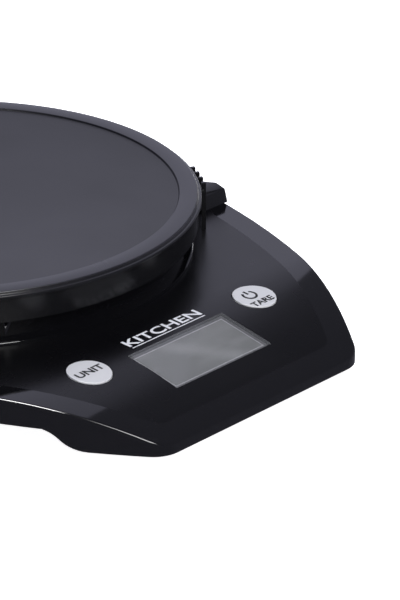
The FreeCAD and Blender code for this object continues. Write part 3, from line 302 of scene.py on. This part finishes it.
def make_finish(name, colour, rough, spread=0.05, grain=2600, depth=0.012, patch=45,
                drift=0.12, stretch=(1, 1, 1), **sockets):
    """A finish with patches, drift and grain.

    spread is how far the roughness wanders, grain and patch are noise scales, depth is the
    grain's depth in millimetres, drift is the share by which the colour wanders, and stretch
    draws the grain out along an axis. Extra keywords are shader sockets, _ for a space."""
    material, tree, shader = new_finish(name)
    for socket, value in sockets.items():
        shader.inputs[socket.replace("_", " ")].default_value = value
    patches = object_noise(tree, patch, 3.0)
    wandering = ranged(tree, patches, *NOISE_MIDDLE, max(SMOOTHEST, rough - spread), rough + spread)
    tree.links.new(wandering, shader.inputs["Roughness"])
    darker, lighter = (tuple(min(1.0, channel * (1 + side * drift)) for channel in colour)
                       for side in (-1, 1))
    tree.links.new(blended(tree, object_noise(tree, patch * DRIFT_FINER, 5.0), darker, lighter),
                   shader.inputs["Base Color"])
    grained(tree, shader, object_noise(tree, grain, 4.0, stretch), GRAIN_STRENGTH, depth * MM)
    return material


def grained(tree, shader, height, strength, depth):
    """Give a shader a bump of a depth in metres."""
    bump = tree.nodes.new("ShaderNodeBump")
    bump.inputs["Strength"].default_value = strength
    bump.inputs["Distance"].default_value = depth
    tree.links.new(height, bump.inputs["Height"])
    tree.links.new(bump.outputs["Normal"], shader.inputs["Normal"])


print("roughness wanders where the noise is between", *NOISE_MIDDLE)

# %% [markdown]
# ## The list of finishes
#
# Each row is one material of the scale: its colour, how rough it is and by how much that
# wanders, how fine and how deep its grain is, and how large its patches are. The outside is
# nearly jet black and differs only in gloss: polished casing, satin panel and grips, and a
# spark-eroded underside. The milled beam's grain is drawn out along its length.

# %% Finishes of the outside
JET = (0.0030, 0.0030, 0.0038)
FINISHES = {}


def add_finish(name, *numbers, **sockets):
    FINISHES[name] = make_finish(name, *numbers, **sockets)


add_finish("gloss_black", JET, 0.08, 0.025, 900, 0.002, 30)
add_finish("matt_black", (0.008, 0.008, 0.009), 0.42, 0.06, 2200, 0.02, 50, IOR=1.4)
add_finish("panel_black", (0.0022, 0.0022, 0.0030), 0.28, 0.03, 3500, 0.004, 35, IOR=1.36)
add_finish("grip_black", JET, 0.24, 0.05, 2400, 0.008, 60, IOR=1.42)
add_finish("rubber", (0.018, 0.018, 0.018), 0.75, 0.06, 1800, 0.03, 80)
add_finish("button_white", (0.69, 0.70, 0.72), 0.38, 0.04, 2600, 0.006, 60, 0.03)
print("finishes of the outside:", len(FINISHES))

# %% Finishes of the inside
ALONG_BEAM = (1, 30, 30)
ACROSS_STRIP = (40, 1, 1)

add_finish("carrier_plastic", (0.66, 0.66, 0.63), 0.42, 0.05, 2000, 0.01, 40, 0.05)
add_finish("aluminium", (0.62, 0.63, 0.65), 0.3, 0.07, 900, 0.01, 70, 0.06, ALONG_BEAM,
           Metallic=1.0)
add_finish("sealant", (0.8, 0.8, 0.76), 0.5, 0.1, 700, 0.06, 90, 0.05)
add_finish("zinc_steel", (0.55, 0.55, 0.52), 0.32, 0.1, 1500, 0.01, 160, 0.15, Metallic=1.0)
add_finish("switch_black", (0.03, 0.03, 0.03), 0.4, 0.05, 2000, 0.01, 90)
add_finish("diffuser_white", (0.85, 0.86, 0.86), 0.5, 0.05, 1500, 0.01, 50, 0.02)
add_finish("strip_rubber", (0.75, 0.7, 0.55), 0.6, 0.08, 1200, 0.02, 90, 0.2, ACROSS_STRIP)
add_finish("board_green", (0.02, 0.16, 0.05), 0.28, 0.06, 500, 0.02, 130, 0.3)
add_finish("socket_white", (0.8, 0.78, 0.68), 0.4, 0.05, 2000, 0.008, 80, 0.04)
add_finish("resin_black", (0.008, 0.008, 0.008), 0.15, 0.06, 300, 0.05, 120)
add_finish("battery_jacket", (0.05, 0.11, 0.24), 0.25, 0.05, 700, 0.006, 60, 0.1)
add_finish("spring_steel", (0.7, 0.69, 0.66), 0.2, 0.06, 1500, 0.006, 120, 0.06, Metallic=1.0)
add_finish("lead_white", (0.75, 0.75, 0.72), 0.45, 0.05, 1500, 0.01, 90, 0.05)
add_finish("lead_red", (0.5, 0.02, 0.02), 0.42, 0.05, 1500, 0.01, 90, 0.1)
print("finishes so far:", len(FINISHES))

# %% [markdown]
# ## Tray finish
#
# The tray is one moulding with two textures cut into its mould: a fine even grain on the
# weighing floor and a smoother, brighter rim and skirt. Both are functions of the distance
# from the tray's axis, so the finish measures that distance and blends at the step. The floor
# also carries very faint turned marks, as rings about the same axis. The step between floor
# and rim is kept from shining, because it lies in the shade of the rim.

# %% Where on the tray a point is
TRAY_LOW, TRAY_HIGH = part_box("tray")
TRAY_AXIS = (TRAY_LOW + TRAY_HIGH) / 2
TRAY_RADIUS = (TRAY_HIGH.x - TRAY_LOW.x) / 2
RIM_WIDTH = 6.9 * MM
RECESS_RADIUS = TRAY_RADIUS - RIM_WIDTH


def distance_from_tray_axis(tree):
    """Distance from the tray's upright axis, in metres."""
    place = tree.nodes.new("ShaderNodeTexCoord")
    centred = tree.nodes.new("ShaderNodeMapping")
    centred.vector_type = "POINT"
    centred.inputs["Location"].default_value = (-TRAY_AXIS.x, -TRAY_AXIS.y, 0)
    centred.inputs["Scale"].default_value = (1, 1, 0)
    length = tree.nodes.new("ShaderNodeVectorMath")
    length.operation = "LENGTH"
    tree.links.new(place.outputs["Object"], centred.inputs["Vector"])
    tree.links.new(centred.outputs["Vector"], length.inputs[0])
    return length.outputs["Value"]


def below_rim(tree):
    """1 on the lip and skirt, 0 on the flat rim."""
    place = tree.nodes.new("ShaderNodeTexCoord")
    split = tree.nodes.new("ShaderNodeSeparateXYZ")
    tree.links.new(place.outputs["Object"], split.inputs[0])
    return ranged(tree, split.outputs["Z"], TRAY_HIGH.z - 0.5 * MM, TRAY_HIGH.z - 0.1 * MM, 1, 0)


def in_step(tree, away):
    """1 on the step between floor and rim, 0 elsewhere."""
    past_floor = ranged(tree, away, RECESS_RADIUS - 0.32 * MM, RECESS_RADIUS - 0.28 * MM, 0, 1)
    before_rim = ranged(tree, away, RECESS_RADIUS + 0.05 * MM, RECESS_RADIUS + 0.15 * MM, 1, 0)
    return calculated(tree, "MULTIPLY", past_floor, before_rim)


print("tray finish changes at", round(RECESS_RADIUS / MM, 1), "mm from the axis")

# %% Tray finish
FLOOR_SHADES = ((0.0052, 0.0052, 0.0080), (0.0080, 0.0080, 0.0115))
RIM_SHADES = ((0.013, 0.013, 0.017), (0.019, 0.019, 0.024))
SKIRT_SHADE = (0.0050, 0.0050, 0.0060)
FLOOR_ROUGH, RIM_ROUGH, SKIRT_GLOSSIER = 0.42, 0.28, 0.07
ROUGH_SPREAD = 0.03
STEP_SHINE = 0.04
FULL_SHINE = 0.5
RIM_GRAIN = 0.25
RING_PITCH = 0.6 * MM
RING_SHARE = 0.05
GRAIN_SCALE, DRIFT_SCALE, PATCH_SCALE = 3000, 38, 26
TRAY_GRAIN_STRENGTH = 0.7
TRAY_GRAIN_DEPTH = 0.02 * MM


def tray_height(tree, away, on_rim):
    """Grain, weaker on the rim, with faint turned rings."""
    grain = calculated(tree, "MULTIPLY", object_noise(tree, GRAIN_SCALE, 4.0),
                       ranged(tree, on_rim, 0, 1, 1.0, RIM_GRAIN))
    rings = calculated(tree, "SINE", calculated(tree, "MULTIPLY", away, 2 * math.pi / RING_PITCH))
    return calculated(tree, "ADD", grain, calculated(tree, "MULTIPLY", rings, RING_SHARE))


def tray_finish():
    """One material for the whole tray, zoned by distance from its axis."""
    material, tree, shader = new_finish("tray_black")
    away = distance_from_tray_axis(tree)
    on_rim = ranged(tree, away, RECESS_RADIUS - 0.3 * MM, RECESS_RADIUS, 0, 1)
    on_skirt = calculated(tree, "MULTIPLY", on_rim, below_rim(tree))
    drift = object_noise(tree, DRIFT_SCALE, 4.0)
    top = blended(tree, on_rim, blended(tree, drift, *FLOOR_SHADES),
                  blended(tree, drift, *RIM_SHADES))
    tree.links.new(blended(tree, on_skirt, top, SKIRT_SHADE), shader.inputs["Base Color"])
    tree.links.new(ranged(tree, in_step(tree, away), 0, 1, FULL_SHINE, STEP_SHINE),
                   shader.inputs["Specular IOR Level"])
    zones = calculated(tree, "SUBTRACT", ranged(tree, on_rim, 0, 1, FLOOR_ROUGH, RIM_ROUGH),
                       calculated(tree, "MULTIPLY", on_skirt, SKIRT_GLOSSIER))
    patches = ranged(tree, object_noise(tree, PATCH_SCALE, 3.0), *NOISE_MIDDLE,
                     -ROUGH_SPREAD, ROUGH_SPREAD)
    tree.links.new(calculated(tree, "ADD", zones, patches), shader.inputs["Roughness"])
    grained(tree, shader, tray_height(tree, away, on_rim), TRAY_GRAIN_STRENGTH, TRAY_GRAIN_DEPTH)
    return material


FINISHES["tray_black"] = tray_finish()
print("tray finish:", FINISHES["tray_black"].name)

# %% [markdown]
# ## Clear and display finishes
#
# The window is a solid block of clear acrylic. It lets light through almost unbent, so it is
# drawn as a faint clear skin that only adds the room's reflection, with a gentle warp in its
# face that makes that reflection wander. Behind it lies the liquid crystal sandwich: a
# silver-grey sheet that is a little cloudy when nothing is shown.

# %% Acrylic and liquid crystal
CLEAR_SKIN = 0.25
CLOUD_STRETCH = (1.0, 2.2, 1.0)
CLOUD_EDGES = (0.35, 0.65)
GLASS_SHADES = ((0.215, 0.222, 0.225), (0.275, 0.282, 0.300))
GLASS_ROUGH = (0.22, 0.32)


def display_finish():
    """Cloudy silver-grey glass."""
    material, tree, shader = new_finish("display_glass")
    noise = object_noise(tree, 55, 2.0, CLOUD_STRETCH)
    clouds = ranged(tree, noise, *CLOUD_EDGES, 0, 1, smooth=True)
    tree.links.new(blended(tree, clouds, *GLASS_SHADES), shader.inputs["Base Color"])
    tree.links.new(ranged(tree, clouds, 0, 1, *GLASS_ROUGH), shader.inputs["Roughness"])
    return material


add_finish("clear_lens", (0.25, 0.26, 0.27), 0.06, 0.02, 45, 0.03, 40, 0.0, IOR=2.4,
           Alpha=CLEAR_SKIN)
FINISHES["display_glass"] = display_finish()
print("finishes so far:", len(FINISHES))


# %% Give every carried-over piece its finish
def wear(piece, material):
    """Put one material in every slot of a piece."""
    if not piece.data.materials:
        piece.data.materials.append(material)
    for slot in piece.material_slots:
        slot.link = "OBJECT"
        slot.material = material


for name, node in NODES.items():
    wear(node, FINISHES[SLOT_OF[name]])
print("finished", len(NODES), "pieces of the frame")

# %% [markdown]
# ## Softened mouldings
#
# A real moulding has no knife edges: each corner has a small radius that catches a thin line
# of light. The casing, covers, grips and buttons already have the right shape in the frame,
# so the quickest faithful way is a copy: merge its loose triangles, dissolve the flat ones
# into whole faces, then bevel only the sharp edges with a rounded profile. The shading normals
# are then weighted by area, so that a flat face stays flat right up to its rounded edge and
# mirrors the room without a smear.

# %% Helpers: a finished piece and smooth shading
MERGE = 1e-6


def new_piece(name, shape, slot, body, finish=None):
    """Turn a bmesh into a finished piece that rides on a body."""
    mesh = bpy.data.meshes.new(name)
    shape.to_mesh(mesh)
    shape.free()
    piece = bpy.data.objects.new(name, mesh)
    bpy.context.scene.collection.objects.link(piece)
    mesh.materials.append(FINISHES[finish or slot])
    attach(piece, body)
    return piece


def smooth_within(piece, angle):
    """Smooth shading that keeps edges sharper than the angle."""
    shape = bmesh.new()
    shape.from_mesh(piece.data)
    for face in shape.faces:
        face.smooth = True
    for edge in shape.edges:
        edge.smooth = len(edge.link_faces) == 2 and edge.calc_face_angle(0) < angle
    shape.to_mesh(piece.data)
    shape.free()


print("pieces are merged at", MERGE, "m")

# %% Helpers: which edges get a radius
SHARP = math.radians(28)
CASING_MIDDLE_Y = -43 * MM
TOP_UPWARDS = 0.75
WALL_UPWARDS = 0.3
WALL_OUTWARDS = 0.02


def sharp_edges(shape):
    """Edges between two faces that meet at more than the sharp angle."""
    return [edge for edge in shape.edges
            if len(edge.link_faces) == 2 and edge.calc_face_angle(0) > SHARP]


def outer_top_edges(shape):
    """Sharp edges where a top surface turns down into a wall that faces outwards."""
    found = []
    for edge in sharp_edges(shape):
        top, wall = sorted(edge.link_faces, key=lambda face: -face.normal.z)
        place = (edge.verts[0].co + edge.verts[1].co) / 2
        outwards = Vector((place.x, place.y - CASING_MIDDLE_Y)).dot(wall.normal.xy)
        upright = abs(wall.normal.z) < WALL_UPWARDS
        if top.normal.z > TOP_UPWARDS and upright and outwards > WALL_OUTWARDS:
            found.append(edge)
    return found


def rounded(shape, edges, radius, segments, clamp):
    """Bevel some edges of a bmesh with a round profile."""
    bmesh.ops.bevel(shape, geom=edges, offset=radius, offset_type="OFFSET", affect="EDGES",
                    segments=segments, profile=0.5, material=-1, clamp_overlap=clamp)


print("edges over", round(math.degrees(SHARP)), "degrees are rounded")

# %% Helper: a softened copy of a frame piece
FLAT_TO_ROUND = math.radians(35)
SAME_PLANE = math.radians(0.5)


def softened(node, radius, brow=None):
    """Copy of a frame piece with its sharp edges rounded; it stands for the frame piece.

    brow is a larger radius for the outer top edges."""
    shape = bmesh.new()
    shape.from_mesh(NODES[node].data)
    bmesh.ops.remove_doubles(shape, verts=shape.verts, dist=MERGE)
    bmesh.ops.dissolve_limit(shape, angle_limit=SAME_PLANE, verts=shape.verts, edges=shape.edges)
    if brow:
        rounded(shape, outer_top_edges(shape), brow, segments=4, clamp=False)
    rounded(shape, sharp_edges(shape), radius, segments=2, clamp=True)
    bmesh.ops.remove_doubles(shape, verts=shape.verts, dist=MERGE)
    piece = new_piece(node + "_soft", shape, SLOT_OF[node], BODY_OF[node])
    smooth_within(piece, FLAT_TO_ROUND)
    piece.modifiers.new("flat_faces_stay_flat", "WEIGHTED_NORMAL").keep_sharp = True
    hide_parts(node)
    print(piece.name, "has", len(piece.data.polygons), "faces")
    return piece


# %% Casing, covers and grips
softened("top_housing", 0.12 * MM, brow=0.7 * MM)
softened("bottom_cover", 0.25 * MM)
softened("panel_inlay", 0.12 * MM)
softened("battery_door", 0.2 * MM)
softened("side_grip_right", 0.3 * MM)
softened("side_grip_left", 0.3 * MM)

# %% [markdown]
# ## The tray
#
# The tray is a turned shape, so it is drawn once as half a cross-section and spun about its
# axis. Rounding the corners of the cross-section before the spin gives every ring its radius
# at no extra cost. The lip at the outer edge is the detail that catches the light. A locating
# rib hangs below the floor, where it drops into the carrier.

# %% The tray's half cross-section
TOP = TRAY_HIGH.z
RECESS_DEPTH = 0.6 * MM
PLATE = 1.8 * MM
SKIRT_LOW = TRAY_LOW.z
LIP_PROUD = 1.0 * MM
LIP_FALL = (0.95 * MM, 1.05 * MM, 2.3 * MM, 2.6 * MM)
SKIRT_WALL = 1.4 * MM
RIB_INNER = 68.5 * MM
RIB_WALL = 1.5 * MM
RIB_DEPTH = 2.7 * MM
SLOPE = 0.25 * MM


def tray_profile():
    """Points of (distance from the axis, height), from the middle of the top to below it."""
    skirt = TRAY_RADIUS - LIP_PROUD
    floor = TOP - RECESS_DEPTH
    under = floor - PLATE
    rib_outer = RIB_INNER + RIB_WALL
    lip_start, lip_top, lip_low, skirt_top = (TOP - fall for fall in LIP_FALL)
    return [(0, floor), (RECESS_RADIUS - SLOPE, floor), (RECESS_RADIUS, TOP),
            (skirt - SLOPE, TOP), (skirt + 0.1 * MM, lip_start), (TRAY_RADIUS, lip_top),
            (TRAY_RADIUS, lip_low), (skirt, skirt_top), (skirt, SKIRT_LOW),
            (skirt - SKIRT_WALL, SKIRT_LOW), (skirt - SKIRT_WALL, under), (rib_outer, under),
            (rib_outer, under - RIB_DEPTH), (RIB_INNER, under - RIB_DEPTH), (RIB_INNER, under),
            (0, under)]


print("tray section:", len(tray_profile()), "corners")

# %% Spin the tray
TRAY_STEPS = 192
TRAY_CORNER = 0.22 * MM
TRAY_SMOOTH = math.radians(40)


def spun(points, corner_radius, steps, axis):
    """Spin an axis-to-axis profile of (distance, height) points, its corners rounded first."""
    shape = bmesh.new()
    ring = [shape.verts.new((axis.x + away, axis.y, height)) for away, height in points]
    for first, second in zip(ring, ring[1:]):
        shape.edges.new((first, second))
    bmesh.ops.bevel(shape, geom=ring[1:-1], offset=corner_radius, offset_type="OFFSET",
                    affect="VERTICES", segments=4, profile=0.5, material=-1, clamp_overlap=True)
    bmesh.ops.spin(shape, geom=shape.verts[:] + shape.edges[:], cent=(axis.x, axis.y, 0),
                   axis=(0, 0, 1), angle=2 * math.pi, steps=steps, use_merge=True)
    bmesh.ops.remove_doubles(shape, verts=shape.verts, dist=MERGE)
    bmesh.ops.recalc_face_normals(shape, faces=shape.faces)
    return shape


tray = new_piece("tray_spun", spun(tray_profile(), TRAY_CORNER, TRAY_STEPS, TRAY_AXIS),
                 "tray_black", "tray")
smooth_within(tray, TRAY_SMOOTH)
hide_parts("tray")
print("tray:", len(tray.data.polygons), "faces")

# %% [markdown]
# ## The panel's surface
#
# Everything printed has to lie on the control panel, which is flat under the tray and then
# bends down in a wide arc towards the front edge. A printed shape is made flat, then every
# point is dropped on to that arc. Long edges are cut first, so that they can bend.

# %% Lay a flat shape on the panel
AXIS_Y = TRAY_AXIS.y
WING_TOP = 15.25 * MM
CURVE_START = 85.4 * MM
CURVE_RADIUS = 102.0 * MM
LONG_EDGE = 1.0 * MM
PRINT_THICKNESS = 0.03 * MM
PRINT_PROUD = 0.01 * MM
FRONT_REACH = 132 * MM


def panel_z(y, proud=0.0):
    """Height of the control panel at y, or of a surface proud of it."""
    ahead = AXIS_Y - y - CURVE_START
    if ahead <= 0:
        return WING_TOP + proud
    return WING_TOP - CURVE_RADIUS + math.sqrt((CURVE_RADIUS + proud)**2 - ahead**2)


def laid_on_panel(shape, proud):
    """Drop a flat bmesh on to the panel; it keeps its own small thickness."""
    longest = [edge for edge in shape.edges if edge.calc_length() > LONG_EDGE]
    bmesh.ops.subdivide_edges(shape, edges=longest, cuts=3, use_grid_fill=True)
    for vert in shape.verts:
        vert.co.z += panel_z(vert.co.y, proud)


fall = WING_TOP - panel_z(AXIS_Y - FRONT_REACH)
print("panel falls", round(fall / MM, 1), "mm to its front edge")

# %% [markdown]
# ## Buttons and their print
#
# The two caps are softened copies. Their legends are pad-printed: text and a power symbol a
# few hundredths of a millimetre thick that follow the slope of the cap. The text is turned
# into a mesh before it is placed. The power symbol is a short edge spun most of the way
# round, with a bar through the gap.

# %% Flat shapes for printing
CAPITAL_SHARE = 0.7


def lettering(words, height, x, y, squeeze=1.0, bold=0.1 * MM):
    """Flat lettering as a bmesh, centred on a place, with a little thickness."""
    curve = bpy.data.curves.new(words, "FONT")
    curve.body = words
    curve.size = height / CAPITAL_SHARE
    curve.align_x = "CENTER"
    curve.extrude = PRINT_THICKNESS / 2
    curve.offset = bold
    carrier = bpy.data.objects.new(words, curve)
    bpy.context.scene.collection.objects.link(carrier)
    bpy.context.view_layer.update()
    solid = carrier.evaluated_get(bpy.context.evaluated_depsgraph_get())
    mesh = bpy.data.meshes.new_from_object(solid)
    bpy.data.objects.remove(carrier)
    shape = bmesh.new()
    shape.from_mesh(mesh)
    bmesh.ops.remove_doubles(shape, verts=shape.verts, dist=MERGE / 10)
    place = (Matrix.Translation((x, y - height / 2, PRINT_THICKNESS / 2))
             @ Matrix.Diagonal((squeeze, 1, 1, 1)))
    bmesh.ops.transform(shape, matrix=place, verts=shape.verts)
    return shape


def flat_bar(width, depth, x, y):
    """A flat rectangle with a little thickness."""
    shape = bmesh.new()
    bmesh.ops.create_cube(shape, size=1.0)
    place = (Matrix.Translation((x, y, PRINT_THICKNESS / 2))
             @ Matrix.Diagonal((width, depth, PRINT_THICKNESS, 1)))
    bmesh.ops.transform(shape, matrix=place, verts=shape.verts)
    return shape


print("print is", round(PRINT_THICKNESS / MM, 2), "mm thick")

# %% The power symbol
HALF_GAP = math.radians(38)
RING_STEPS = 36


def power_symbol(radius, stroke, x, y):
    """An open ring with a bar through its gap, in the usual sign for on and off."""
    shape = bmesh.new()
    inner = shape.verts.new((0, radius - stroke / 2, 0))
    outer = shape.verts.new((0, radius + stroke / 2, 0))
    edge = shape.edges.new((inner, outer))
    bmesh.ops.rotate(shape, verts=shape.verts, cent=(0, 0, 0),
                     matrix=Matrix.Rotation(HALF_GAP, 3, "Z"))
    bmesh.ops.spin(shape, geom=[inner, outer, edge], cent=(0, 0, 0), axis=(0, 0, 1),
                   angle=2 * math.pi - 2 * HALF_GAP, steps=RING_STEPS)
    bar = Matrix.Translation((0, radius * 0.75, 0)) @ Matrix.Diagonal((stroke, radius, 1, 1))
    bmesh.ops.create_grid(shape, x_segments=1, y_segments=4, size=0.5, matrix=bar)
    grown = bmesh.ops.extrude_face_region(shape, geom=shape.faces[:])
    raised = [part for part in grown["geom"] if isinstance(part, bmesh.types.BMVert)]
    bmesh.ops.translate(shape, vec=(0, 0, PRINT_THICKNESS), verts=raised)
    bmesh.ops.recalc_face_normals(shape, faces=shape.faces)
    bmesh.ops.translate(shape, vec=(x, y, 0), verts=shape.verts)
    return shape


print("the ring's gap is", round(math.degrees(2 * HALF_GAP)), "degrees")

# %% Caps and legends
BUTTON_OFFSET = 36.5 * MM
BUTTON_Y = AXIS_Y - 96.0 * MM
CAP_PROUD = 0.35 * MM
LEGEND_PROUD = CAP_PROUD + PRINT_PROUD

add_finish("print_dark", (0.006, 0.006, 0.007), 0.45, 0.05, 2500, 0.004, 90, IOR=1.3)
add_finish("print_light", (0.86, 0.88, 0.92), 0.45, 0.05, 2500, 0.004, 90, 0.06)


def printed_on_cap(name, shape, body):
    """Dark print on a cap, riding with it."""
    laid_on_panel(shape, LEGEND_PROUD)
    return new_piece(name, shape, "button_white", body, "print_dark")


softened("unit_button", 0.15 * MM)
softened("tare_button", 0.15 * MM)
printed_on_cap("unit_legend", lettering("UNIT", 2.75 * MM, -BUTTON_OFFSET, BUTTON_Y, 1.18),
               "unit_button")
printed_on_cap("tare_legend", lettering("TARE", 2.3 * MM, BUTTON_OFFSET - 0.6 * MM,
                                        BUTTON_Y - 3.8 * MM, 1.15), "tare_button")
printed_on_cap("tare_power_symbol", power_symbol(2.15 * MM, 0.75 * MM, BUTTON_OFFSET - 0.9 * MM,
                                                 BUTTON_Y + 1.1 * MM), "tare_button")
print("legends printed on both buttons")

# %% [markdown]
# ## The word above the display
#
# Above the display the panel carries a wide pale word over a thin rule, both screen-printed.
# A plain word that says what the object is for stands there, at the same size.

# %% Word and rule
WORD_Y = AXIS_Y - 91.3 * MM
RULE_Y = AXIS_Y - 94.3 * MM


def printed_on_panel(name, shape):
    """Pale print on the panel."""
    laid_on_panel(shape, PRINT_PROUD)
    return new_piece(name, shape, "panel_black", "casing", "print_light")


printed_on_panel("panel_word", lettering("KITCHEN", 3.9 * MM, 0, WORD_Y, squeeze=1.4))
printed_on_panel("panel_rule", flat_bar(32 * MM, 0.35 * MM, 0, RULE_Y))
print("word and rule printed on the panel")

# %% [markdown]
# ## Display film
#
# A polarising film is bonded to the back of the window, right out to its edges, so no black
# ledge shows around the display. It is a thin sheet at the panel's own tilt. Two marks of
# light are painted on the film: a paler highlight line set in from the edge, where the
# window's moulded border catches the light, and a painted reflection, a soft light streak
# that runs slantwise across it. Both painted marks follow the film and not the room, so they
# are drawn on the film's own UV map, laid out in millimetres.

# %% Film finish
FILM_SIZE = (41.3 * MM, 19.7 * MM)
BORDER_END = (1.10, 1.20)
# painted highlight: a paler line set in from the film's edge, where the window's border catches
# light
PAINTED_HIGHLIGHT_LINE_END = (1.45, 1.55)
# painted reflection: a soft light streak slanting across the film, drawn in its colour
PAINTED_REFLECTION_SLANT = 0.9
PAINTED_REFLECTION_PLACE = 1.5
PAINTED_REFLECTION_HALF_WIDTH = 6.5
PAINTED_REFLECTION_STRENGTH = 0.55
BORDER_SHADES = ((0.05, 0.05, 0.055), (0.17, 0.17, 0.18))
# colours of the painted highlight line
PAINTED_HIGHLIGHT_LINE_SHADES = ((0.32, 0.32, 0.34), (0.62, 0.62, 0.65))
SHEET_SHADES = ((0.185, 0.191, 0.186), (0.240, 0.246, 0.244))
# colour of the painted reflection streak
PAINTED_REFLECTION_SHADE = (0.345, 0.352, 0.352)
FILM_ROUGH = 0.35


def film_place(tree):
    """Place on the film: millimetres right of and above its middle."""
    uv = tree.nodes.new("ShaderNodeUVMap")
    uv.uv_map = "film"
    split = tree.nodes.new("ShaderNodeSeparateXYZ")
    tree.links.new(uv.outputs["UV"], split.inputs[0])
    return split.outputs["X"], split.outputs["Y"]


def sheet_with_painted_reflection(tree, across, up):
    """The sheet's colour: clouds and a painted reflection, a slanting light streak."""
    noise = object_noise(tree, 60, 2.0, CLOUD_STRETCH)
    clouds = ranged(tree, noise, *CLOUD_EDGES, 0, 1, smooth=True)
    along = calculated(tree, "ADD", across, calculated(tree, "MULTIPLY", up, PAINTED_REFLECTION_SLANT))
    aside = calculated(tree, "ABSOLUTE", calculated(tree, "SUBTRACT", along, PAINTED_REFLECTION_PLACE))
    # painted reflection: a light streak mixed into the sheet's colour
    painted_reflection = ranged(tree, aside, 0, PAINTED_REFLECTION_HALF_WIDTH, 1, 0, smooth=True)
    return blended(tree, calculated(tree, "MULTIPLY", painted_reflection, PAINTED_REFLECTION_STRENGTH),
                   blended(tree, clouds, *SHEET_SHADES), PAINTED_REFLECTION_SHADE)


def film_finish():
    """Silver-grey sheet inside a painted highlight line and a dark rough border."""
    material, tree, shader = new_finish("display_film")
    across, up = film_place(tree)
    inwards = [calculated(tree, "SUBTRACT", size / MM / 2, calculated(tree, "ABSOLUTE", place))
               for size, place in zip(FILM_SIZE, (across, up))]
    from_edge = calculated(tree, "MINIMUM", *inwards)
    scatter = object_noise(tree, 700, 3.0)
    # the painted highlight line, set in from the edge, around the sheet
    inside = blended(tree, ranged(tree, from_edge, *PAINTED_HIGHLIGHT_LINE_END, 0, 1),
                     blended(tree, scatter, *PAINTED_HIGHLIGHT_LINE_SHADES), sheet_with_painted_reflection(tree, across, up))
    whole = blended(tree, ranged(tree, from_edge, *BORDER_END, 0, 1),
                    blended(tree, scatter, *BORDER_SHADES), inside)
    tree.links.new(whole, shader.inputs["Base Color"])
    shader.inputs["Roughness"].default_value = FILM_ROUGH
    return material


FINISHES["display_film"] = film_finish()
print("all finishes:", len(FINISHES))

# %% Film under the window
FILM_AHEAD = 106.5 * MM
FILM_Y = AXIS_Y - FILM_AHEAD
FILM_TILT = math.asin((FILM_AHEAD - CURVE_START) / CURVE_RADIUS)
FILM_DEPTH = 1.32 * MM
FILM_THICKNESS = 0.03 * MM


def film_shape():
    """A thin sheet at the panel's tilt, with a UV map in millimetres."""
    shape = bmesh.new()
    bmesh.ops.create_cube(shape, size=1.0)
    layer = shape.loops.layers.uv.new("film")
    for face in shape.faces:
        for loop in face.loops:
            corner = loop.vert.co
            loop[layer].uv = (corner.x * FILM_SIZE[0] / MM, corner.y * FILM_SIZE[1] / MM)
    tilted = (Matrix.Translation((0, FILM_Y, panel_z(FILM_Y)))
              @ Matrix.Rotation(FILM_TILT, 4, "X")
              @ Matrix.Translation((0, 0, -FILM_DEPTH))
              @ Matrix.Diagonal((*FILM_SIZE, FILM_THICKNESS, 1)))
    bmesh.ops.transform(shape, matrix=tilted, verts=shape.verts)
    return shape


film = new_piece("display_film", film_shape(), "display_glass", "casing", "display_film")
print("film:", film.name, "tilted", round(math.degrees(FILM_TILT), 1), "degrees")
